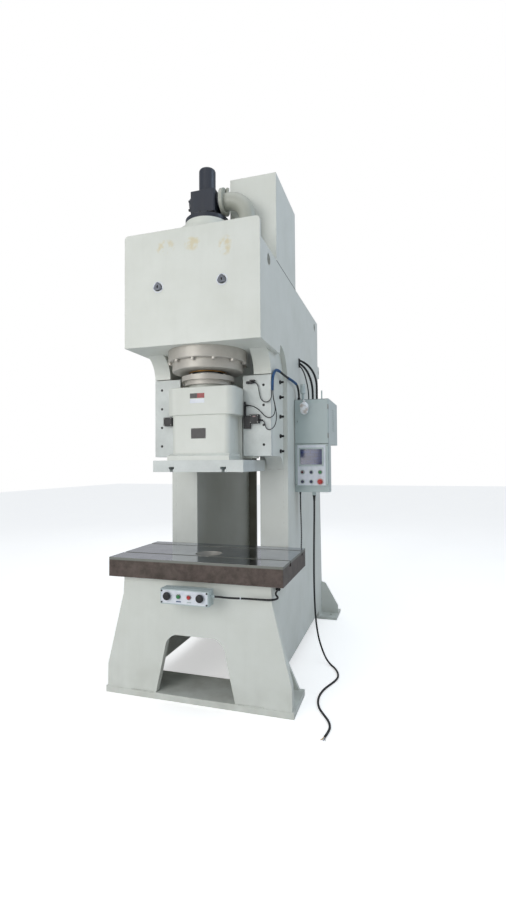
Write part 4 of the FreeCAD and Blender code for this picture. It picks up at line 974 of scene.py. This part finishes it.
def wrappedLamp():
    # spare lamp in packing film, tied to the top of the door
    rand = random.Random(4)
    lamp = {"centre": (0.546, 0.585, 1.024), "size": (0.036, 0.020, 0.050), "lumps": 26, "wall": 0.6085}
    centre, size = Vector(lamp["centre"]), lamp["size"]

    def bag(bm):
        bmesh.ops.create_icosphere(bm, subdivisions=4, radius=1.0)
        lumps = []
        for _ in range(lamp["lumps"]):
            way = Vector((rand.uniform(-1, 1), rand.uniform(-1, 1), rand.uniform(-1, 1))).normalized()
            lumps.append((way, rand.uniform(0.06, 0.2)))
        for v in bm.verts:
            way = v.co.normalized()
            grow = 1.0 + sum(h * max(0.0, way.dot(n)) ** 14 for n, h in lumps) - 0.1
            neck = max(0.0, way.z) ** 3
            v.co = Vector((way.x * size[0] * grow * (1 - 0.55 * neck), way.y * size[1] * grow * (1 - 0.4 * neck),
                           way.z * size[2] * (1 + 0.1 * neck)))
            v.co += centre
            v.co.y = min(v.co.y, lamp["wall"])
    meshPiece("wrappedLamp", bag, "packingFilm", "cabinet_door_body", smooth=60.0)

    def tie(bm):
        top, thick, ends = centre + Vector((-0.002, 0.004, 0.046)), 0.0022, 7
        addTube(bm, [top + Vector(step) for step in (
            (0, 0, -0.004), (-0.003, 0.002, 0.008), (-0.006, 0.010, 0.018), (-0.006, 0.0175, 0.021))], thick, 10)
        for k in range(ends):
            a = 2 * math.pi * k / ends
            tip = top + Vector((0.011 * math.cos(a), 0.006 * math.sin(a), 0.014 + 0.004 * (k % 3)))
            addTube(bm, [top + Vector((0, 0, 0.001)), (top + tip) / 2 + Vector((0, 0, 0.002)), tip], thick, 6)
    meshPiece("wrappedLampTie", tie, "packingFilm", "cabinet_door_body", smooth=60.0)


def motorPieces():
    # cooling ribs, fan cowl and terminal box of the motor inside the head
    motor = {"radius": 0.130, "front": 0.840, "back": 1.130, "height": 1.567, "ribs": 28, "rise": 0.015, "half": 0.0016}

    def drawRibs(bm):
        for k in range(motor["ribs"]):
            angle = math.radians(-40 + 260 * k / (motor["ribs"] - 1))
            out, along = Vector((math.cos(angle), 0, math.sin(angle))), Vector((0, 1, 0))
            foot = Vector((0, motor["front"], motor["height"])) + out * motor["radius"]
            turn = Matrix((along.cross(out), along, out)).transposed().to_4x4()
            long = motor["back"] - motor["front"]
            for v in addBlock(bm, (-motor["half"], 0, -0.002), (motor["half"], long, motor["rise"])):
                v.co = foot + turn @ v.co
    meshPiece("motorRibs", drawRibs, "motorPaint")
    meshPiece("motorCowl", lambda bm: addLathe(bm, (0, 1.192, motor["height"]), (0, 1, 0), [
        (-0.045, 0.1305), (-0.045, 0.134), (0.030, 0.134), (0.040, 0.126), (0.042, 0.110), (0.042, 0.104),
        (0.038, 0.104), (0.034, 0.122), (0.026, 0.1305), (-0.045, 0.1305)], 48), "motorPaint")
    sheetPiece("motorTerminals", (-0.055, 0.90, 1.690), (0.055, 1.03, 1.738), "motorPaint", bevel=0.004)


def tankPieces():
    top = 2.586
    cover = {"low": (0.150, 0.110, top - 0.0002), "high": (0.444, 0.680, top + 0.005)}
    gaugeAt = {"x": 0.132, "y": 0.616, "low": 2.14, "high": 2.40}
    sheetPiece("tankCover", cover["low"], cover["high"], "framePaint", bevel=0.0015)
    # dark rubber strip on the joint of tank and side plate: painted shadow of the narrow gap between them
    sheetPiece("tankSeam", (0.4617, 0.0975, 1.9765), (0.4629, 0.6920, 1.9805), "rubber", bevel=0.0)
    spots = [(x, y) for x in (0.162, 0.432) for y in (0.125, 0.26, 0.395, 0.53, 0.665)]
    spots += [(0.297, y) for y in (0.125, 0.665)]
    placeCopies("tankCoverScrews", lambda bm: addSocketScrew(bm, 0.006, 0.0028),
                [((x, y, top + 0.005), upward) for x, y in spots], "blackOxide")

    def gauge(bm):
        # sight glass with its guard on the left wall
        x, y = gaugeAt["x"], gaugeAt["y"]
        for z in (gaugeAt["low"], gaugeAt["high"]):
            addBlock(bm, (x - 0.012, y - 0.016, z), (x, y + 0.016, z + 0.025))
        addTube(bm, [(x - 0.007, y, gaugeAt["low"] + 0.024), (x - 0.007, y, gaugeAt["high"] + 0.001)], 0.006, 16)
    meshPiece("levelGauge", gauge, "palePlastic", bevel=0.001)
    bolts = [((0.120, gaugeAt["y"], z + 0.0125), (-1, 0, 0)) for z in (gaugeAt["low"], gaugeAt["high"])]
    placeCopies("levelGaugeBolts", lambda bm: addHex(bm, (0, 0, 0), upward, 0.016, 0.007, 0.0008), bolts,
                "zinc")
    meshPiece("breatherBase", lambda bm: addLathe(bm, (0.300, 0.420, top + 0.0049), upward, [
        (0, 0.0385), (0.0028, 0.0385), (0.0029, 0)], 36), "zinc")


def slidePieces():
    # wiper under the gland, grease nipples and the washers of the ram flange
    meshPiece("ramWiper", lambda bm: addLathe(bm, (0, 0, 1.2165), upward, [
        (0, 0.1112), (-0.004, 0.1110), (-0.006, 0.116), (-0.006, 0.124), (0.0, 0.127), (0.0, 0.1112)], 72),
        "rubber")
    nipples = [((side * 0.304, 0.128, z), (side, 0, 0)) for side in (-1, 1) for z in (0.72, 1.02)]
    placeCopies("greaseNipples", lambda bm: addLathe(bm, (0, 0, 0), upward, [
        (0, 0.005), (0.0022, 0.005), (0.0024, 0.003), (0.0036, 0.003), (0.0042, 0.0034), (0.0052, 0.0022),
        (0.0054, 0)], 12), nipples, "zinc", "press_slide")
    washers = {"count": 8, "circle": 0.150, "height": 1.188, "first": 22.5}
    turns = [math.radians(washers["first"] + 360 / washers["count"] * k) for k in range(washers["count"])]
    circle, height = washers["circle"], washers["height"]
    ring = [((circle * math.cos(a), circle * math.sin(a), height), upward) for a in turns]
    placeCopies("ramFlangeWashers", lambda bm: addWasher(bm, (0, 0, 0), upward, 0.0088, 0.0125, 0.0012, 20), ring,
                "zinc", "press_slide")


def sensorPieces():
    # indicator windows, plugs and mounting screws of the sensors
    plugs = [(spot, (1, 0, 0)) for spot in ((0.300, 0.036, 1.148), (0.2535, 0.040, 0.995), (0.350, 0.036, 0.893))]
    placeCopies("sensorPlugs", lambda bm: addLathe(bm, (0, 0, 0), upward, [
        (0, 0.0062), (0.004, 0.0072), (0.012, 0.0072), (0.014, 0.0056), (0.020, 0.0046), (0.026, 0.0034),
        (0.026, 0)], 18), plugs, "blackPlastic")
    screws = [((side * x, 0.020, z), front) for side in (1, -1) for x in (0.293, 0.343) for z in (0.879, 0.925)]
    placeCopies("sensorScrews", lambda bm: addSocketScrew(bm, 0.0028, 0.0018), screws, "zinc")
    sheetPiece("sensorWindow", (0.308, 0.0192, 0.914), (0.330, 0.0202, 0.922), "maroonLens",
               bevel=0.0003)


def clipPieces():
    # a pale tie round the box lead
    tie = {"x": 0.318, "inner": 0.0058, "outer": 0.0082, "width": 0.0055}
    line = cordLines["boxLead"]
    near = min(range(1, len(line) - 1), key=lambda i: abs(line[i].x - tie["x"]))
    way = line[near + 1] - line[near - 1]
    meshPiece("boxLeadTie", lambda bm: addWasher(bm, line[near], way, tie["inner"], tie["outer"], tie["width"], 24),
              "whiteSheet")


def lockPieces():
    # bright ring round each lock and a dark sheet at the bottom of its key slot, painted shade of the slot's recess
    for name, x in (("Left", -0.218), ("Right", 0.218)):
        meshPiece("lockRing" + name, lambda bm: addWasher(bm, (x, -0.3000, 1.735), front, 0.0295, 0.0365, 0.0012, 48),
                  "whiteSheet")
        sheetPiece("lockSlot" + name, (x - 0.0048, -0.3068, 1.7262), (x + 0.0048, -0.3062, 1.7438), "rubber",
                   f"head_lock_{name.lower()}_body", 0.0)


def bothSides(lines):
    return [[(side * x, y, z) for x, y, z in line] for line in lines for side in (1, -1)]


def weldPieces():
    # beads where the plates of the frame meet
    weldAlong("footWelds", [
        [(-0.445, -0.243, -0.8535), (-0.29, -0.243, -0.8535)], [(0.29, -0.243, -0.8535), (0.445, -0.243, -0.8535)],
        *bothSides([
            [(0.4635, 0.045, -0.8535), (0.4635, -0.19, -0.8535)], [(0.4635, 1.65, -0.8685), (0.4635, 1.785, -0.8685)],
            [(0.4635, 0.0485, -0.56), (0.4635, 0.0485, -0.85)], [(0.4635, 1.7885, -0.59), (0.4635, 1.7885, -0.865)],
        ])], 0.0055)
    weldAlong("columnWelds", [
        *bothSides([[(0.2505, 1.664, -0.24), (0.2505, 1.664, 1.33)]]),
        [(0.258, 0.381, 1.356), (0.425, 0.381, 1.356)], [(-0.425, 0.381, 1.356), (-0.258, 0.381, 1.356)]])
    weldAlong("rearWelds", bothSides([[(0.429, 1.691, -0.84), (0.429, 1.691, 1.42)]]))
    weldAlong("tankWelds", [
        [(0.133, 0.0945, 1.981), (0.455, 0.0945, 1.981)], [(0.1315, 0.10, 1.981), (0.1315, 0.69, 1.981)],
        [(0.133, 0.6955, 1.981), (0.455, 0.6955, 1.981)]], 0.0045)


labelPieces()
operatorPieces()
controlPieces()
cabinetPieces()
wrappedLamp()
print("controls and cabinet made")
motorPieces()
tankPieces()
slidePieces()
sensorPieces()
clipPieces()
lockPieces()
weldPieces()
print("machine fittings made")


# Floor, light and camera
white = (1.0, 1.0, 1.0, 1.0)


def layFloor():
    ground = {"pale": shade(240, 239, 236), "dull": shade(230, 230, 228), "glow": 0.5}
    corners = [(x, y, floorHeight) for x, y in ((-20, -12), (20, -12), (20, 30), (-20, 30))]
    mesh = bpy.data.meshes.new("floor")
    mesh.from_pydata(corners, [], [(0, 1, 2, 3)])
    floor = addObject("floor", mesh)
    made, tree, shader = newMaterial("floorPaint", Roughness=0.8)
    noise = noiseOf(tree, objectPlace(tree), 1.3, 5.0)
    tree.links.new(mixColour(tree, noise, ground["pale"], ground["dull"]), shader.inputs["Base Color"])
    shader.inputs["Emission Color"].default_value = white
    seen = addNode(tree, "ShaderNodeLightPath").outputs["Is Camera Ray"]
    tree.links.new(mathNode(tree, "MULTIPLY", seen, ground["glow"]), shader.inputs["Emission Strength"])
    mesh.materials.append(made)


def fillWorld():
    # tinted light from all round; the camera itself sees plain white
    sky = {"above": (0.84, 0.91, 1.0, 1.0), "below": (1.0, 0.95, 0.89, 1.0), "strength": 0.5}
    world = bpy.data.worlds.new("studio")
    world.use_nodes = True
    tree = world.node_tree
    background = tree.nodes["Background"]
    rise = ramp(tree, axisOf(tree, addNode(tree, "ShaderNodeTexCoord").outputs["Generated"], 2), -0.25, 0.6)
    seen = addNode(tree, "ShaderNodeLightPath").outputs["Is Camera Ray"]
    tinted = mixColour(tree, rise, sky["below"], sky["above"])
    tree.links.new(mixColour(tree, seen, tinted, white), background.inputs[0])
    extra = mathNode(tree, "MULTIPLY", seen, 1.0 - sky["strength"])
    tree.links.new(mathNode(tree, "ADD", sky["strength"], extra), background.inputs[1])
    bpy.context.scene.world = world
    bpy.context.scene.view_settings.view_transform = "Standard"


def hangLights():
    lamps = {
        "keyFront": dict(at=(-2.4, -6.0, 2.2), aim=(0, 0.2, 0.2), size=4.0, power=166, tint=(1.0, 0.99, 0.97)),
        "topSoft": dict(at=(0.4, -1.0, 5.2), aim=(0, 0.4, 0.4), size=3.5, power=45, tint=(1.0, 1.0, 1.0)),
        "skyRight": dict(at=(5.5, 0.6, 4.6), aim=(0.4, 0.8, 1.9), size=2.5, power=84, tint=(0.62, 0.79, 1.0)),
        "backRim": dict(at=(-2.5, 6.0, 4.0), aim=(0, 0.8, 0.4), size=4.0, power=40, tint=(1.0, 1.0, 1.0)),
    }
    for name, facts in lamps.items():
        light = bpy.data.lights.new(name, "AREA")
        light.shape, light.size, light.energy, light.color = "SQUARE", facts["size"], facts["power"], facts["tint"]
        obj = addObject(name, light)
        obj.location = facts["at"]
        obj.rotation_euler = (Vector(facts["aim"]) - Vector(facts["at"])).to_track_quat("-Z", "Y").to_euler()


def placeCamera():
    view = {"at": (1.27246, -3.06359, 0.605), "yaw": 0.302341, "pitch": 0.027618, "roll": -0.0063397, "lens": 19.467}
    yaw, pitch, roll = view["yaw"], view["pitch"], view["roll"]
    ahead = Vector((-math.sin(yaw) * math.cos(pitch), math.cos(yaw) * math.cos(pitch), math.sin(pitch)))
    right = Vector((math.cos(yaw), math.sin(yaw), 0))
    up = right.cross(ahead)
    sideways = right * math.cos(roll) + up * math.sin(roll)
    upright = up * math.cos(roll) - right * math.sin(roll)
    made = bpy.data.cameras.new("viewer")
    made.lens, made.sensor_width, made.sensor_fit, made.clip_end = view["lens"], 36.0, "AUTO", 100
    obj = addObject("viewer", made)
    turn = Matrix((sideways, upright, -ahead)).transposed().to_4x4()
    obj.matrix_world = Matrix.Translation(view["at"]) @ turn
    bpy.context.scene.camera = obj


layFloor()
fillWorld()
hangLights()
placeCamera()
print("studio set")
